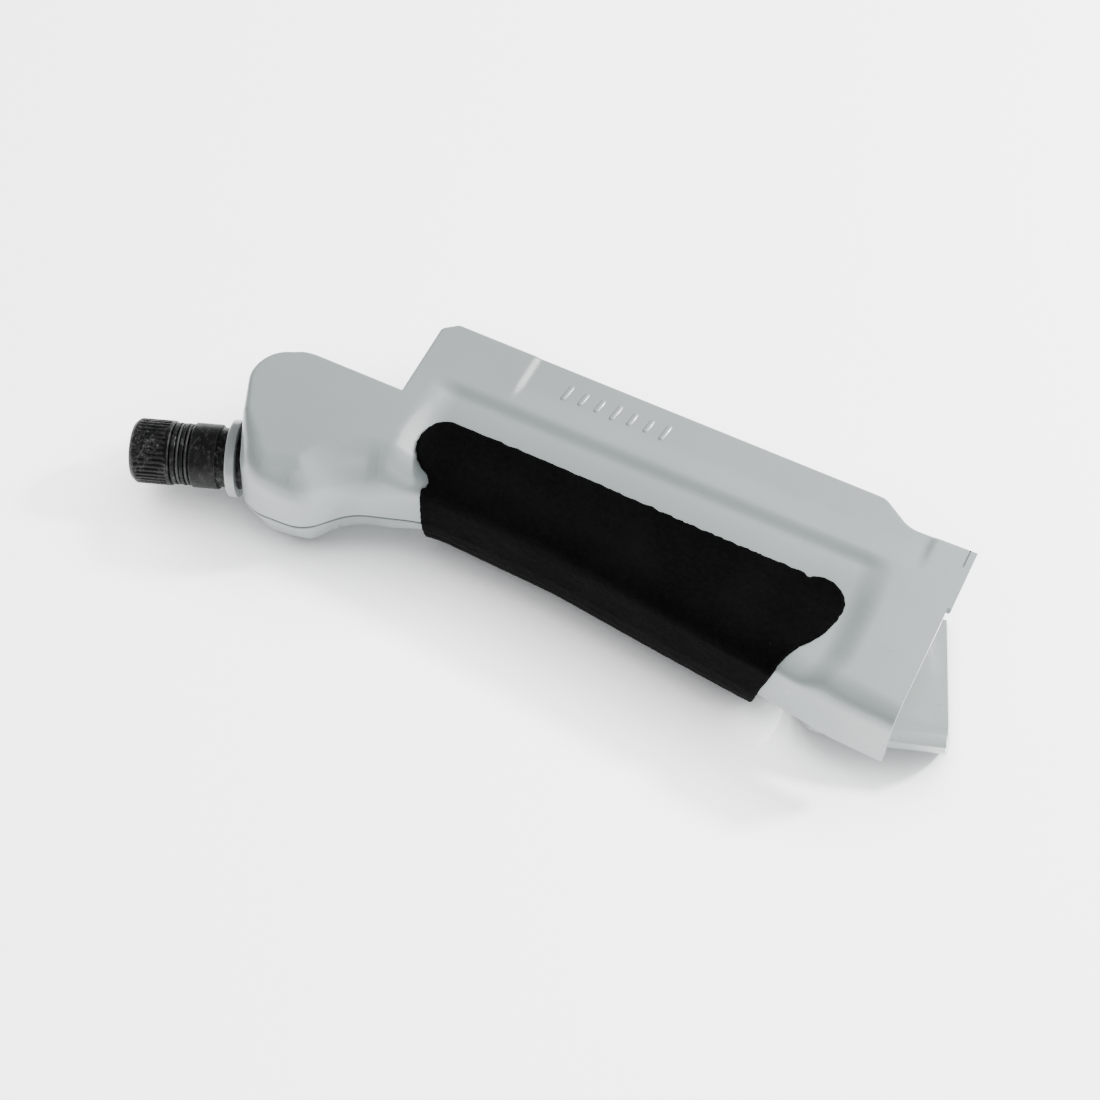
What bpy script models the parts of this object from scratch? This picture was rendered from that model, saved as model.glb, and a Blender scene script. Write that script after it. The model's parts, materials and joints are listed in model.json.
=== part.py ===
"""Fibre laser handpiece: two moulded shells, a padded grip, a focusing nose and a swivelling tail.

Lengths in the functions are millimetres and are scaled to metres when a mesh is made. The design frame
has X along the straight rail towards the open mouth, Y towards the rail and Z up, with the handpiece
lying on its side. The world origin is on the flat rest face, under the rail.
"""

from math import atan2, cos, hypot, pi, radians, sin, tan

import bmesh
import bpy
from mathutils import Vector

MM = 0.001

# Driving dimensions, mm
REST_POINT = (34.0, -9.0)      # world origin on the rest face, in the design frame
THICKNESS = 28.0               # over both shells
SEAM = 12.0                    # height of the seam above the rest face
SEAM_GAP = 0.3                 # between the two shells
WALL = 2.0                     # moulded wall
DRAFT = 0.7                    # outward lean of a wall from its edge round to the seam
STRAIGHT = 1000.0              # corner radius that stands for none
MOUTH_X = 101.7                # plane of the open butt end
UPPER_ROUND = 6.0              # edge radius of the upper shell along the grip
LOWER_ROUND = 10.0             # and of the lower shell
RECESS_DEPTH = 2.5
PAD_GAP = 0.3
PAD_SKIN = 1.0
PAD_LEFT = [-12.5, -10.5, -9.5, -9.0, -9.0, -9.0, -9.0, -9.5, -10.0, -10.5]     # along the wrap
PAD_RIGHT = [79.0, 76.0, 75.5, 75.3, 73.0, 72.5, 71.5, 70.5, 69.0, 66.5]
PAD_FAR_Y = -24.5              # its edge on the top face
PAD_UNDER_Y = -30.0            # its edge on the under side

NOSE_FACE = (-52.6, -44.7)     # where the optical axis leaves the head
NOSE_TURN = 21.3               # optical axis against the rail, degrees
NOSE_RADIUS = 7.2
BARREL_RADIUS = 6.6
BORE_RADIUS = 5.2
NOSE_STEPS = 36                # facets round the nose pieces

PIVOT = (81.3, -18.6)          # swivel axis of the tail guide
TAIL_SWING = 21.5              # degrees, from flush with the mouth to fully out
TAIL_FAR = 4.6                 # far edge of the tail guide, beyond the pivot
TAIL_LEFT = -15.0              # its left edge there
TAIL_NEAR_X = -7.3             # its left edge at the near wall

# Seam outline from the mouth along the rail, round the head and back: x, y, corner radius, edge radius
OUTLINE = [
    (MOUTH_X, -3.9, 0.0, 1.2),
    (87.0, -4.3, 6.0, 1.2),
    (80.0, 0.4, 5.0, 1.2),
    (-22.0, 0.4, 0.0, 1.2),
    (-25.7, -2.6, 0.0, 1.2),
    (-25.2, -21.0, 0.0, 1.2),
    (-47.0, -20.7, 14.0, 2.4),
    (-55.6, -23.6, 7.0, 3.6),
    (-58.4, -32.0, 7.0, 4.2),
    (-46.4, -56.2, 8.0, 4.6),
    (-31.2, -55.3, 8.0, 5.0),
    (-24.0, -46.8, 14.0, 6.0),
    (-8.0, -41.2, 26.0, 6.0),
    (22.0, -42.0, 80.0, 6.0),
    (73.0, -47.4, 60.0, 6.0),
    (89.0, -49.8, 30.0, 6.0),
    (MOUTH_X, -50.3, 0.0, 6.0),
]

# Screws, locating pins: design-frame places
SCREW_PLACES = [(-43.5, -28.0), (-35.0, -50.0), (-18.5, -7.0), (24.0, -7.0), (60.0, -7.0)]
PIN_PLACES = [(-32.5, -26.5), (42.0, -7.0)]


# ---------------------------------------------------------------- scene helpers

def clear_scene():
    for item in list(bpy.data.objects):
        bpy.data.objects.remove(item, do_unlink=True)


def new_collection(name):
    group = bpy.data.collections.new(name)
    bpy.context.scene.collection.children.link(group)
    return group


def make_material(name, colour, roughness, metallic=0.0, transmission=0.0):
    material = bpy.data.materials.new(name)
    material.use_nodes = True
    shader = material.node_tree.nodes["Principled BSDF"]
    shader.inputs["Base Color"].default_value = (*colour, 1.0)
    shader.inputs["Roughness"].default_value = roughness
    shader.inputs["Metallic"].default_value = metallic
    shader.inputs["Transmission Weight"].default_value = transmission
    material.diffuse_color = (*colour, 1.0)
    return material


clear_scene()
PARTS = new_collection("laser_handpiece")
CUTTERS = new_collection("cutters")

SHELL_GREY = dict(colour=(0.42, 0.46, 0.45), roughness=0.45)
PAD_BLACK = dict(colour=(0.01, 0.01, 0.01), roughness=0.95)
BLACK_ALLOY = dict(colour=(0.03, 0.03, 0.032), roughness=0.35, metallic=0.8)
BRIGHT_STEEL = dict(colour=(0.62, 0.62, 0.64), roughness=0.28, metallic=1.0)
BRASS = dict(colour=(0.75, 0.55, 0.25), roughness=0.3, metallic=1.0)
GLASS = dict(colour=(0.85, 0.93, 0.95), roughness=0.03, transmission=1.0)
RUBBER = dict(colour=(0.02, 0.02, 0.02), roughness=0.7)
LIGHT_PLASTIC = dict(colour=(0.6, 0.62, 0.62), roughness=0.4)


def finish(item, look, group, parent, location=(0.0, 0.0, 0.0), rotation=(0.0, 0.0, 0.0)):
    """Name-matched material, collection, place and parent for a new object."""
    for owner in list(item.users_collection):
        owner.objects.unlink(item)
    group.objects.link(item)
    item.parent = parent
    item.location = [value * MM for value in location]
    item.rotation_euler = [radians(value) for value in rotation]
    if group is CUTTERS:
        item.hide_render = True
        item.display_type = "WIRE"
    else:
        item.data.materials.append(make_material(item.name + "_material", **look))
    return item


def mesh_object(name, vertices, faces, look, group, parent, **place):
    mesh = bpy.data.meshes.new(name)
    mesh.from_pydata([[value * MM for value in point] for point in vertices], [], faces)
    mesh.validate()
    return finish(bpy.data.objects.new(name, mesh), look, group, parent, **place)


def empty(name, location, rotation=(0.0, 0.0, 0.0), parent=None):
    marker = bpy.data.objects.new(name, None)
    PARTS.objects.link(marker)
    marker.parent = parent
    marker.location = [value * MM for value in location]
    marker.rotation_euler = [radians(value) for value in rotation]
    return marker


def boolean(item, cutter, operation="DIFFERENCE"):
    step = item.modifiers.new(operation.lower(), "BOOLEAN")
    step.operation = operation
    step.object = cutter


def smooth(item, angle=35.0):
    item.data.shade_smooth()
    item.data.set_sharp_from_angle(angle=radians(angle))


# ---------------------------------------------------------------- shape helpers

def turned(name, profile, look, parent, steps=24, group=PARTS, **place):
    """Solid of revolution about local Z. The profile runs down its outer side; it closes on itself
    unless both ends lie on the axis."""
    closed = profile[0][0] > 0.0
    count = len(profile)
    edges = [(i, (i + 1) % count) for i in range(count if closed else count - 1)]
    mesh = bpy.data.meshes.new(name)
    mesh.from_pydata([(radius * MM, 0.0, height * MM) for radius, height in profile], edges, [])
    item = finish(bpy.data.objects.new(name, mesh), look, group, parent, **place)
    spin = item.modifiers.new("spin", "SCREW")
    spin.axis = "Z"
    spin.angle = 2 * pi
    spin.steps = steps
    spin.render_steps = steps
    spin.use_merge_vertices = True
    spin.merge_threshold = 0.00001
    return item


def ring_profile(inner, outer, low, high):
    return [(outer, high), (outer, low), (inner, low), (inner, high)]


def rod_profile(radius, low, high):
    return [(0.0, high), (radius, high), (radius, low), (0.0, low)]


def rod(name, radius, low, high, look, parent, steps=32, **place):
    return turned(name, rod_profile(radius, low, high), look, parent, steps, **place)


def box(name, low, high, look, parent, group=PARTS, **place):
    bpy.ops.mesh.primitive_cube_add(size=1.0)
    item = bpy.context.object
    item.name = name
    item.data.name = name
    middle = [(a + b) / 2 for a, b in zip(low, high)]
    size = [b - a for a, b in zip(low, high)]
    for vertex in item.data.vertices:
        vertex.co = Vector([(vertex.co[k] * size[k] + middle[k]) * MM for k in range(3)])
    return finish(item, look, group, parent, **place)


def rounded_outline(corners, segments):
    """Points, edge radii and convex corner radii along a polyline whose inner corners become arcs.
    A corner of no radius stays one sharp point."""
    points = [(corners[0][0], corners[0][1], corners[0][3], STRAIGHT)]
    for before, corner, after in zip(corners, corners[1:], corners[2:]):
        if corner[2] == 0.0:
            points.append((corner[0], corner[1], corner[3], STRAIGHT))
            continue
        here = Vector(corner[:2])
        back = (Vector(before[:2]) - here).normalized()
        ahead = (Vector(after[:2]) - here).normalized()
        half = back.angle(ahead) / 2
        radius = corner[2]
        centre = here + (back + ahead).normalized() * radius / sin(half)
        start = here + back * radius / tan(half) - centre
        end = here + ahead * radius / tan(half) - centre
        first = atan2(start.y, start.x)
        sweep = (atan2(end.y, end.x) - first + pi) % (2 * pi) - pi
        limit = radius if sweep > 0 else STRAIGHT
        count = max(1, min(segments, round(abs(sweep) / radians(9))))
        for step in range(count + 1):
            angle = first + sweep * step / count
            points.append((centre.x + radius * cos(angle), centre.y + radius * sin(angle), corner[3], limit))
    points.append((corners[-1][0], corners[-1][1], corners[-1][3], STRAIGHT))
    return points


def outward_normals(points):
    """Mitred normals on the right of the travel direction; the two ends stay square to the mouth."""
    sides = []
    for here, there in zip(points, points[1:]):
        along = (there[0] - here[0], there[1] - here[1])
        length = hypot(*along)
        sides.append((along[1] / length, -along[0] / length))
    normals = [(0.0, 1.0)]
    for first, second in zip(sides, sides[1:]):
        stretch = 1.0 + first[0] * second[0] + first[1] * second[1]
        normals.append(((first[0] + second[0]) / stretch, (first[1] + second[1]) / stretch))
    normals.append((0.0, -1.0))
    return normals


def loft(name, rings, look, group, parent, **place):
    """Closed solid through rings of equal count, each counter-clockwise from above, lowest first."""
    count = len(rings[0])
    vertices = [point for ring in rings for point in ring]
    faces = [tuple(reversed(range(count)))]
    for level in range(len(rings) - 1):
        for i in range(count):
            j = (i + 1) % count
            low, high = level * count, (level + 1) * count
            faces.append((low + i, low + j, high + j, high + i))
    faces.append(tuple(range((len(rings) - 1) * count, len(rings) * count)))
    return mesh_object(name, vertices, faces, look, group, parent, **place)


SEAM_POINTS = rounded_outline(OUTLINE, 8)
SEAM_NORMALS = outward_normals(SEAM_POINTS)


def half_rings(inset, seam_z, face_z, edge_scale, mouth_shift=0.0, segments=4):
    """Rings from the seam to the outer face of one half, inset from the outside by a wall."""
    towards = 1.0 if face_z > seam_z else -1.0
    face = face_z - towards * inset
    rings = []
    for step in range(-1, segments + 1):
        turn = max(0.0, step) / segments * pi / 2
        ring = []
        for (x, y, edge, limit), normal in zip(SEAM_POINTS, SEAM_NORMALS):
            radius = min(edge * edge_scale, limit - WALL - DRAFT - 0.2) - 0.35 * inset
            lean = DRAFT if step >= 0 else 0.0
            move = inset + lean + radius * (1 - cos(turn))
            height = seam_z if step < 0 else face - towards * radius * (1 - sin(turn))
            shift = mouth_shift if x > MOUTH_X - 0.01 else 0.0
            ring.append((x + shift - normal[0] * move, y - normal[1] * move, height))
        rings.append(ring)
    if towards < 0:
        rings.reverse()
    return rings


def half_solid(name, inset, seam_z, face_z, edge_scale, group, parent, mouth_shift=0.0, **place):
    rings = half_rings(inset, seam_z, face_z, edge_scale, mouth_shift)
    return loft(name, rings, SHELL_GREY, group, parent, **place)


def recess_cutter(name, grow, face_z, outward, right, parent):
    """Tapered block that sinks the grip into a face; it runs out past the near edge."""
    rings = []
    for spread, level in ((0.0, -RECESS_DEPTH), (4.0, 1.5)):
        side = spread + grow
        z = face_z + outward * (level - grow)
        low_x, high_x = -13.5 - side, right + side
        rings.append([(low_x, -75.0, z), (high_x, -75.0, z), (high_x, -18.5 + side, z),
                      (low_x, -18.5 + side, z)])
    if outward < 0:
        rings.reverse()
    return loft(name, rings, SHELL_GREY, CUTTERS, parent)


def joined_rods(name, places, radius, low, high, parent, steps=14):
    """Several upright rods in one mesh."""
    bm = bmesh.new()
    for x, y in places:
        made = bmesh.ops.create_cone(bm, cap_ends=True, segments=steps, radius1=radius * MM,
                                     radius2=radius * MM, depth=(high - low) * MM)
        bmesh.ops.translate(bm, verts=made["verts"], vec=Vector((x, y, (low + high) / 2)) * MM)
    mesh = bpy.data.meshes.new(name)
    bm.to_mesh(mesh)
    bm.free()
    return finish(bpy.data.objects.new(name, mesh), SHELL_GREY, CUTTERS, parent)


def plan_prism(name, outline, low, high, parent, **place):
    rings = [[(x, y, z) for x, y in outline] for z in (low, high)]
    return loft(name, rings, SHELL_GREY, CUTTERS, parent, **place)


def turned_point(point, angle):
    a = radians(angle)
    return (point[0] * cos(a) - point[1] * sin(a), point[0] * sin(a) + point[1] * cos(a))


# ---------------------------------------------------------------- frames of the assembly

BODY = empty("handpiece_frame", (-REST_POINT[0], -REST_POINT[1], 0.0))
OPTIC = empty("optical_axis", (*NOSE_FACE, SEAM), (0.0, 90.0, 180.0 + NOSE_TURN), BODY)
SWIVEL = empty("tail_swivel_axis", (*PIVOT, 0.0), (0.0, 0.0, TAIL_SWING), BODY)

UPPER_SEAM = SEAM + SEAM_GAP / 2
LOWER_SEAM = SEAM - SEAM_GAP / 2
BOTH_PLACES = SCREW_PLACES + PIN_PLACES
PIVOT_BOSS_LOW = 5.0
PIVOT_HUB_TOP = 4.0


def nose_bore(name):
    return rod(name, NOSE_RADIUS - 0.2, -14.0, 8.0, SHELL_GREY, OPTIC, steps=32, group=CUTTERS)


# ---------------------------------------------------------------- shells

def build_upper_shell():
    shell = half_solid("upper_shell", 0.0, UPPER_SEAM, THICKNESS, 1.0, PARTS, BODY)
    boolean(shell, recess_cutter("upper_recess", 0.0, THICKNESS, 1.0, 82.0, BODY))
    cavity = half_solid("upper_cavity", WALL, UPPER_SEAM - 2.0, THICKNESS, 1.0, CUTTERS, BODY, 2.0)
    boolean(cavity, recess_cutter("upper_recess_inside", WALL, THICKNESS, 1.0, 82.0, BODY))
    boolean(shell, cavity)
    boolean(shell, joined_rods("upper_posts", BOTH_PLACES, 3.7, UPPER_SEAM + 0.2, 26.2, BODY), "UNION")
    boolean(shell, joined_rods("pivot_boss", [PIVOT], 3.9, PIVOT_BOSS_LOW, 24.6, BODY), "UNION")
    boolean(shell, joined_rods("insert_holes", SCREW_PLACES, 2.5, SEAM - 1.0, 17.2, BODY))
    boolean(shell, joined_rods("thread_holes", SCREW_PLACES, 1.45, SEAM, 22.0, BODY))
    boolean(shell, joined_rods("upper_pin_holes", PIN_PLACES, 1.5, SEAM - 1.0, 15.4, BODY))
    boolean(shell, joined_rods("pivot_screw_hole", [PIVOT], 1.6, 3.0, 15.4, BODY))
    boolean(shell, nose_bore("upper_nose_bore"))
    return shell


def bay_outline():
    """Plan of the opening in the lower shell that the tail guide swings in, about the pivot."""
    far = TAIL_FAR + 0.7
    corner = hypot(MOUTH_X - PIVOT[0], TAIL_FAR) + 0.7
    points = [(60.0, -60.0), (60.0, far), (corner, far)]
    first = atan2(far, MOUTH_X - PIVOT[0])
    for step in range(7):
        angle = first + radians(TAIL_SWING + 2.0) * step / 6
        points.append((corner * cos(angle), corner * sin(angle)))
    points.append((turned_point((-2.0, far), TAIL_SWING)[0] + 4.0, far))
    points.append((TAIL_LEFT + 1.0, far))
    reach = hypot(TAIL_LEFT, TAIL_FAR) + 0.7
    for angle in range(165, 211, 9):
        points.append((reach * cos(radians(angle)), reach * sin(radians(angle))))
    points.append((TAIL_NEAR_X - 0.7, -32.0))
    points.append((TAIL_NEAR_X - 0.7, -60.0))
    return points


def build_lower_shell():
    shell = half_solid("lower_shell", 0.0, LOWER_SEAM, 0.0, LOWER_ROUND / UPPER_ROUND, PARTS, BODY)
    boolean(shell, recess_cutter("lower_recess", 0.0, 0.0, -1.0, 76.0, BODY))
    cavity = half_solid("lower_cavity", WALL, LOWER_SEAM + 2.0, 0.0, LOWER_ROUND / UPPER_ROUND, CUTTERS, BODY, 2.0)
    boolean(cavity, recess_cutter("lower_recess_inside", WALL, 0.0, -1.0, 76.0, BODY))
    boolean(shell, cavity)
    boolean(shell, joined_rods("lower_posts", BOTH_PLACES, 3.7, 1.1, LOWER_SEAM - 0.2, BODY), "UNION")
    boolean(shell, joined_rods("screw_holes", SCREW_PLACES, 1.5, 2.0, SEAM + 1.0, BODY))
    boolean(shell, joined_rods("counterbores", SCREW_PLACES, 2.7, -1.0, 3.0, BODY))
    boolean(shell, joined_rods("lower_pin_holes", PIN_PLACES, 1.5, 8.6, SEAM + 1.0, BODY))
    boolean(shell, nose_bore("lower_nose_bore"))
    bay = plan_prism("tail_bay", bay_outline(), -1.0, SEAM + 1.0, BODY, location=(*PIVOT, 0.0))
    boolean(shell, bay)
    return shell


def build_tail():
    """Last stretch of the lower shell: a trough that swivels out of the mouth about the pivot."""
    away = (-PIVOT[0], -PIVOT[1], 0.0)
    tail = half_solid("tail_guide", 0.0, LOWER_SEAM, 0.0, LOWER_ROUND / UPPER_ROUND, PARTS, SWIVEL)
    cavity = half_solid("tail_cavity", WALL, LOWER_SEAM + 2.0, 0.0, LOWER_ROUND / UPPER_ROUND, CUTTERS, SWIVEL, 2.0,
                        location=away)
    for vertex in tail.data.vertices:
        vertex.co += Vector(away) * MM
    boolean(tail, cavity)
    outline = [(60.0, TAIL_FAR), (TAIL_LEFT, TAIL_FAR), (TAIL_NEAR_X, -32.0), (TAIL_NEAR_X, -60.0),
               (60.0, -60.0)]
    boolean(tail, plan_prism("tail_plan", outline, -1.0, SEAM + 1.0, SWIVEL), "INTERSECT")
    boolean(tail, joined_rods("pivot_hub", [(0.0, 0.0)], 4.0, 0.0, PIVOT_HUB_TOP, SWIVEL), "UNION")
    boolean(tail, joined_rods("hub_hole", [(0.0, 0.0)], 1.8, -1.0, 6.0, SWIVEL))
    boolean(tail, joined_rods("hub_counterbore", [(0.0, 0.0)], 3.1, -1.0, 2.4, SWIVEL))
    screw = [(0.0, 13.0), (1.3, 13.0), (1.3, 2.1), (2.8, 2.1), (2.8, 0.5), (0.0, 0.5)]
    turned("tail_pivot_screw", screw, BRIGHT_STEEL, BODY, 24, location=(*PIVOT, 0.0))
    turned("tail_friction_washer", ring_profile(1.8, 3.7, 4.3, 4.7), BRIGHT_STEEL, BODY, 24,
           location=(*PIVOT, 0.0))


# ---------------------------------------------------------------- grip pad

def near_stations():
    """Seam points of the near side from the neck to the mouth, each with its outward normal."""
    pairs = zip(SEAM_POINTS, SEAM_NORMALS)
    return [(point[0], point[1], *normal) for point, normal in pairs if point[1] < -38.0 and point[0] > -28.0]


def near_station(x):
    stations = near_stations()
    for left, right in zip(stations, stations[1:]):
        if left[0] <= x <= right[0]:
            share = (x - left[0]) / (right[0] - left[0])
            return [a + share * (b - a) for a, b in zip(left, right)]
    return stations[-1]


def pad_section(stations, far_y, offset):
    """Wrap line round the grip through one station for each of its ten points, pushed out from the
    shell by an offset."""
    top = THICKNESS - RECESS_DEPTH + offset
    floor = RECESS_DEPTH - offset

    def on_round(radius, centre_z, degrees):
        angle = radians(degrees)
        return (DRAFT + radius + (radius + offset) * cos(angle), centre_z + (radius + offset) * sin(angle))

    def crossing(first, second, level):
        share = (level - first[1]) / (second[1] - first[1])
        return (first[0] + share * (second[0] - first[0]), level)

    upper = [on_round(UPPER_ROUND, THICKNESS - UPPER_ROUND, degrees) for degrees in (135.0, 157.5, 180.0)]
    lower = [on_round(LOWER_ROUND, LOWER_ROUND, degrees) for degrees in (180.0, 202.5, 225.0, 247.5)]
    profile = [crossing(upper[0], upper[1], top), upper[1], upper[2], (-offset, SEAM)]
    profile += lower[:3] + [crossing(lower[2], lower[3], floor)]
    wrap = [(stations[0], far_y, top)]
    for x, (inset, z) in zip(stations[1:-1], profile):
        seam_x, seam_y, normal_x, normal_y = near_station(x)
        wrap.append((seam_x - normal_x * inset, seam_y - normal_y * inset, z))
    return wrap + [(stations[-1], PAD_UNDER_Y, floor)]


def build_pad():
    """Suede-faced foam skin wrapped round the grip, from the top face to the under side."""
    first, last = max(PAD_LEFT), min(PAD_RIGHT)
    middle = [point[0] for point in near_stations() if first + 2.0 < point[0] < last - 2.0]
    rings = []
    for stations in [PAD_LEFT] + [[x] * len(PAD_LEFT) for x in middle] + [PAD_RIGHT]:
        far_y = PAD_FAR_Y - (4.0 if stations is PAD_LEFT else 0.0)
        inner = pad_section(stations, far_y, PAD_GAP)
        outer = pad_section(stations, far_y, PAD_GAP + PAD_SKIN)
        rings.append(inner + outer[::-1])
    count = len(rings[0])
    vertices = [point for ring in rings for point in ring]
    faces = []
    for level in range(len(rings) - 1):
        for i in range(count):
            j = (i + 1) % count
            a, b = level * count, (level + 1) * count
            faces.append((a + i, b + i, b + j, a + j))
    last_ring = (len(rings) - 1) * count
    for i in range(count // 2 - 1):
        k = count - 1 - i
        faces.append((i, i + 1, k - 1, k))
        faces.append((last_ring + i, last_ring + k, last_ring + k - 1, last_ring + i + 1))
    fix_normals(mesh_object("grip_pad", vertices, faces, PAD_BLACK, PARTS, BODY))


def fix_normals(item):
    bm = bmesh.new()
    bm.from_mesh(item.data)
    bmesh.ops.recalc_face_normals(bm, faces=bm.faces)
    bm.to_mesh(item.data)
    bm.free()


# ---------------------------------------------------------------- nose and optics, along the optical axis

def build_nose():
    turned("nose_flange", ring_profile(7.0, 8.6, 0.4, 2.6), LIGHT_PLASTIC, OPTIC, NOSE_STEPS)
    barrel = [(6.9, 15.0), (6.9, 14.1), (5.9, 14.1), (5.9, 12.9), (6.9, 12.9), (6.9, 12.2), (5.9, 12.2),
              (5.9, 11.0), (NOSE_RADIUS, 10.8), (NOSE_RADIUS, 4.9), (BARREL_RADIUS, 4.9),
              (BARREL_RADIUS, -16.0), (BORE_RADIUS, -16.0), (BORE_RADIUS, 15.0)]
    turned("lens_barrel", barrel, BLACK_ALLOY, OPTIC, NOSE_STEPS)
    for name, height in (("groove_ring_front", 13.5), ("groove_ring_rear", 11.6)):
        profile = [(6.55 + 0.33 * cos(k * pi / 4), 0.33 * sin(k * pi / 4)) for k in range(8, 0, -1)]
        turned(name, profile, RUBBER, OPTIC, location=(0.0, 0.0, height))
    collar = [(6.3, 24.2), (NOSE_RADIUS, 23.2), (NOSE_RADIUS, 15.3), (4.9, 15.3), (4.9, 8.0), (4.3, 8.0),
              (4.3, 20.6), (5.6, 20.6), (5.6, 24.2)]
    turned("focus_collar", collar, BLACK_ALLOY, OPTIC, NOSE_STEPS)
    turned("protective_window", rod_profile(5.3, 20.9, 22.1), GLASS, OPTIC)
    turned("window_retainer", ring_profile(4.2, 5.3, 22.4, 23.6), BLACK_ALLOY, OPTIC)
    cell = [(4.0, 18.0), (4.0, 9.5), (2.8, 9.5), (2.8, 10.5), (3.4, 10.5), (3.4, 18.0)]
    turned("lens_cell", cell, BLACK_ALLOY, OPTIC)
    lens = [(0.0, 14.2), (1.6, 14.0), (3.1, 13.2), (3.1, 11.9), (1.6, 11.1), (0.0, 10.9)]
    turned("objective_lens", lens, GLASS, OPTIC)
    turned("lens_retainer", ring_profile(2.4, 3.1, 14.5, 16.0), BLACK_ALLOY, OPTIC)
    turned("collimator_retainer", ring_profile(3.8, 4.9, 3.1, 4.3), BLACK_ALLOY, OPTIC)
    flat_lens = [(0.0, 2.8), (2.4, 2.4), (4.9, 1.1), (4.9, -0.4), (0.0, -0.4)]
    turned("collimator_lens", flat_lens, GLASS, OPTIC)
    turned("spacer_ring", ring_profile(4.2, 4.9, -7.4, -0.7), BRIGHT_STEEL, OPTIC)
    receptacle = [(4.9, -7.8), (4.9, -16.3), (6.4, -16.3), (6.4, -18.3), (3.6, -18.3), (3.6, -27.0),
                  (1.9, -27.0), (1.9, -7.8)]
    turned("ferrule_receptacle", receptacle, BRIGHT_STEEL, OPTIC, 32)
    ferrule = [(0.0, -9.0), (1.6, -9.0), (1.6, -27.3), (3.1, -27.3), (3.1, -29.3), (1.6, -29.3),
               (1.6, -33.0), (0.0, -33.0)]
    turned("fibre_ferrule", ferrule, BRIGHT_STEEL, OPTIC, 24)
    nut = [(5.2, -20.0), (5.2, -31.5), (1.9, -31.5), (1.9, -29.6), (3.9, -29.6), (3.9, -20.0)]
    turned("ferrule_nut", nut, BRASS, OPTIC, 32)
    boot = [(0.0, -33.3), (2.6, -33.3), (1.5, BOOT_END), (0.0, BOOT_END)]
    turned("ferrule_boot", boot, RUBBER, OPTIC, 24)


BOOT_END = -46.0
COUPLER_X = 44.0
COUPLER_Y = -24.0


def axis_point(distance):
    """Design-frame point on the optical axis, measured outwards from the head."""
    angle = radians(180.0 + NOSE_TURN)
    return Vector((NOSE_FACE[0] + distance * cos(angle), NOSE_FACE[1] + distance * sin(angle), SEAM))


def build_fibre_and_bulkhead():
    start = axis_point(BOOT_END - 0.3)
    lead_in = axis_point(BOOT_END - 14.0)
    end = Vector((COUPLER_X - 0.3, COUPLER_Y, SEAM + 0.5))
    lead_out = end - Vector((16.0, 0.0, 0.0))
    curve = bpy.data.curves.new("fibre_lead", "CURVE")
    curve.dimensions = "3D"
    curve.bevel_depth = 1.0 * MM
    curve.bevel_resolution = 2
    curve.use_fill_caps = True
    spline = curve.splines.new("POLY")
    count = 20
    spline.points.add(count)
    for step in range(count + 1):
        t = step / count
        point = (start * (1 - t) ** 3 + lead_in * 3 * t * (1 - t) ** 2 + lead_out * 3 * t * t * (1 - t)
                 + end * t ** 3)
        spline.points[step].co = (*(point * MM), 1.0)
    finish(bpy.data.objects.new("fibre_lead", curve), RUBBER, PARTS, BODY)

    plate = box("bulkhead_plate", (50.0, -38.0, 5.0), (52.4, -3.4, 23.0), LIGHT_PLASTIC, BODY)
    along_x = (0.0, 90.0, 0.0)
    place = dict(location=(0.0, COUPLER_Y, SEAM + 0.5), rotation=along_x)
    boolean(plate, rod("bulkhead_hole", 3.3, 48.0, 56.0, SHELL_GREY, BODY, steps=24, group=CUTTERS, **place))
    coupler = [(0.0, 60.0), (3.0, 60.0), (3.0, 49.7), (4.9, 49.7), (4.9, 47.9), (3.0, 47.9),
               (3.0, COUPLER_X), (0.0, COUPLER_X)]
    turned("bulkhead_coupler", coupler, BRIGHT_STEEL, BODY, 24, **place)
    turned("coupler_nut", ring_profile(3.3, 5.0, 52.7, 55.0), BRASS, BODY, 24, **place)


def build_saddles():
    """Two cradles that carry the barrel on the floor of the lower shell; local X points down."""
    for name, distance in (("front_saddle", -9.4), ("rear_saddle", -14.2)):
        low = (0.5, -5.2, distance - 1.5)
        high = (SEAM - WALL - 0.4, 5.2, distance + 1.5)
        saddle = box(name, low, high, LIGHT_PLASTIC, OPTIC)
        boolean(saddle, rod(name + "_cradle", BARREL_RADIUS + 0.3, -20.0, 2.0, SHELL_GREY, OPTIC, steps=40,
                            group=CUTTERS))


def build_fasteners():
    screw = [(0.0, 19.0), (1.1, 19.0), (1.1, 2.6), (2.4, 2.6), (2.4, 0.7), (0.0, 0.7)]
    for number, place in enumerate(SCREW_PLACES, start=1):
        turned(f"shell_screw_{number}", screw, BRIGHT_STEEL, BODY, 16, location=(*place, 0.0))
        insert = ring_profile(1.4, 2.2, SEAM + 0.6, SEAM + 4.8)
        turned(f"threaded_insert_{number}", insert, BRASS, BODY, 12, location=(*place, 0.0))
    for number, place in enumerate(PIN_PLACES, start=1):
        rod(f"locating_pin_{number}", 1.2, 9.0, 15.0, BRIGHT_STEEL, BODY, 16, location=(*place, 0.0))


build_upper_shell()
build_lower_shell()
build_tail()
build_pad()
build_nose()
build_fibre_and_bulkhead()
build_saddles()
build_fasteners()

for piece in PARTS.objects:
    if piece.type == "MESH":
        smooth(piece)
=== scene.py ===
"""Looks of the laser handpiece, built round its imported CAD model. Lengths in the functions are millimetres
in the design frame: X along the rail towards the butt, Y towards the rail, Z up."""

import json
import math
from math import cos, pi, radians, sin, tan

import bmesh
import bpy
import numpy as np
from mathutils import Matrix, Vector, noise
from mathutils.geometry import delaunay_2d_cdt

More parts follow.
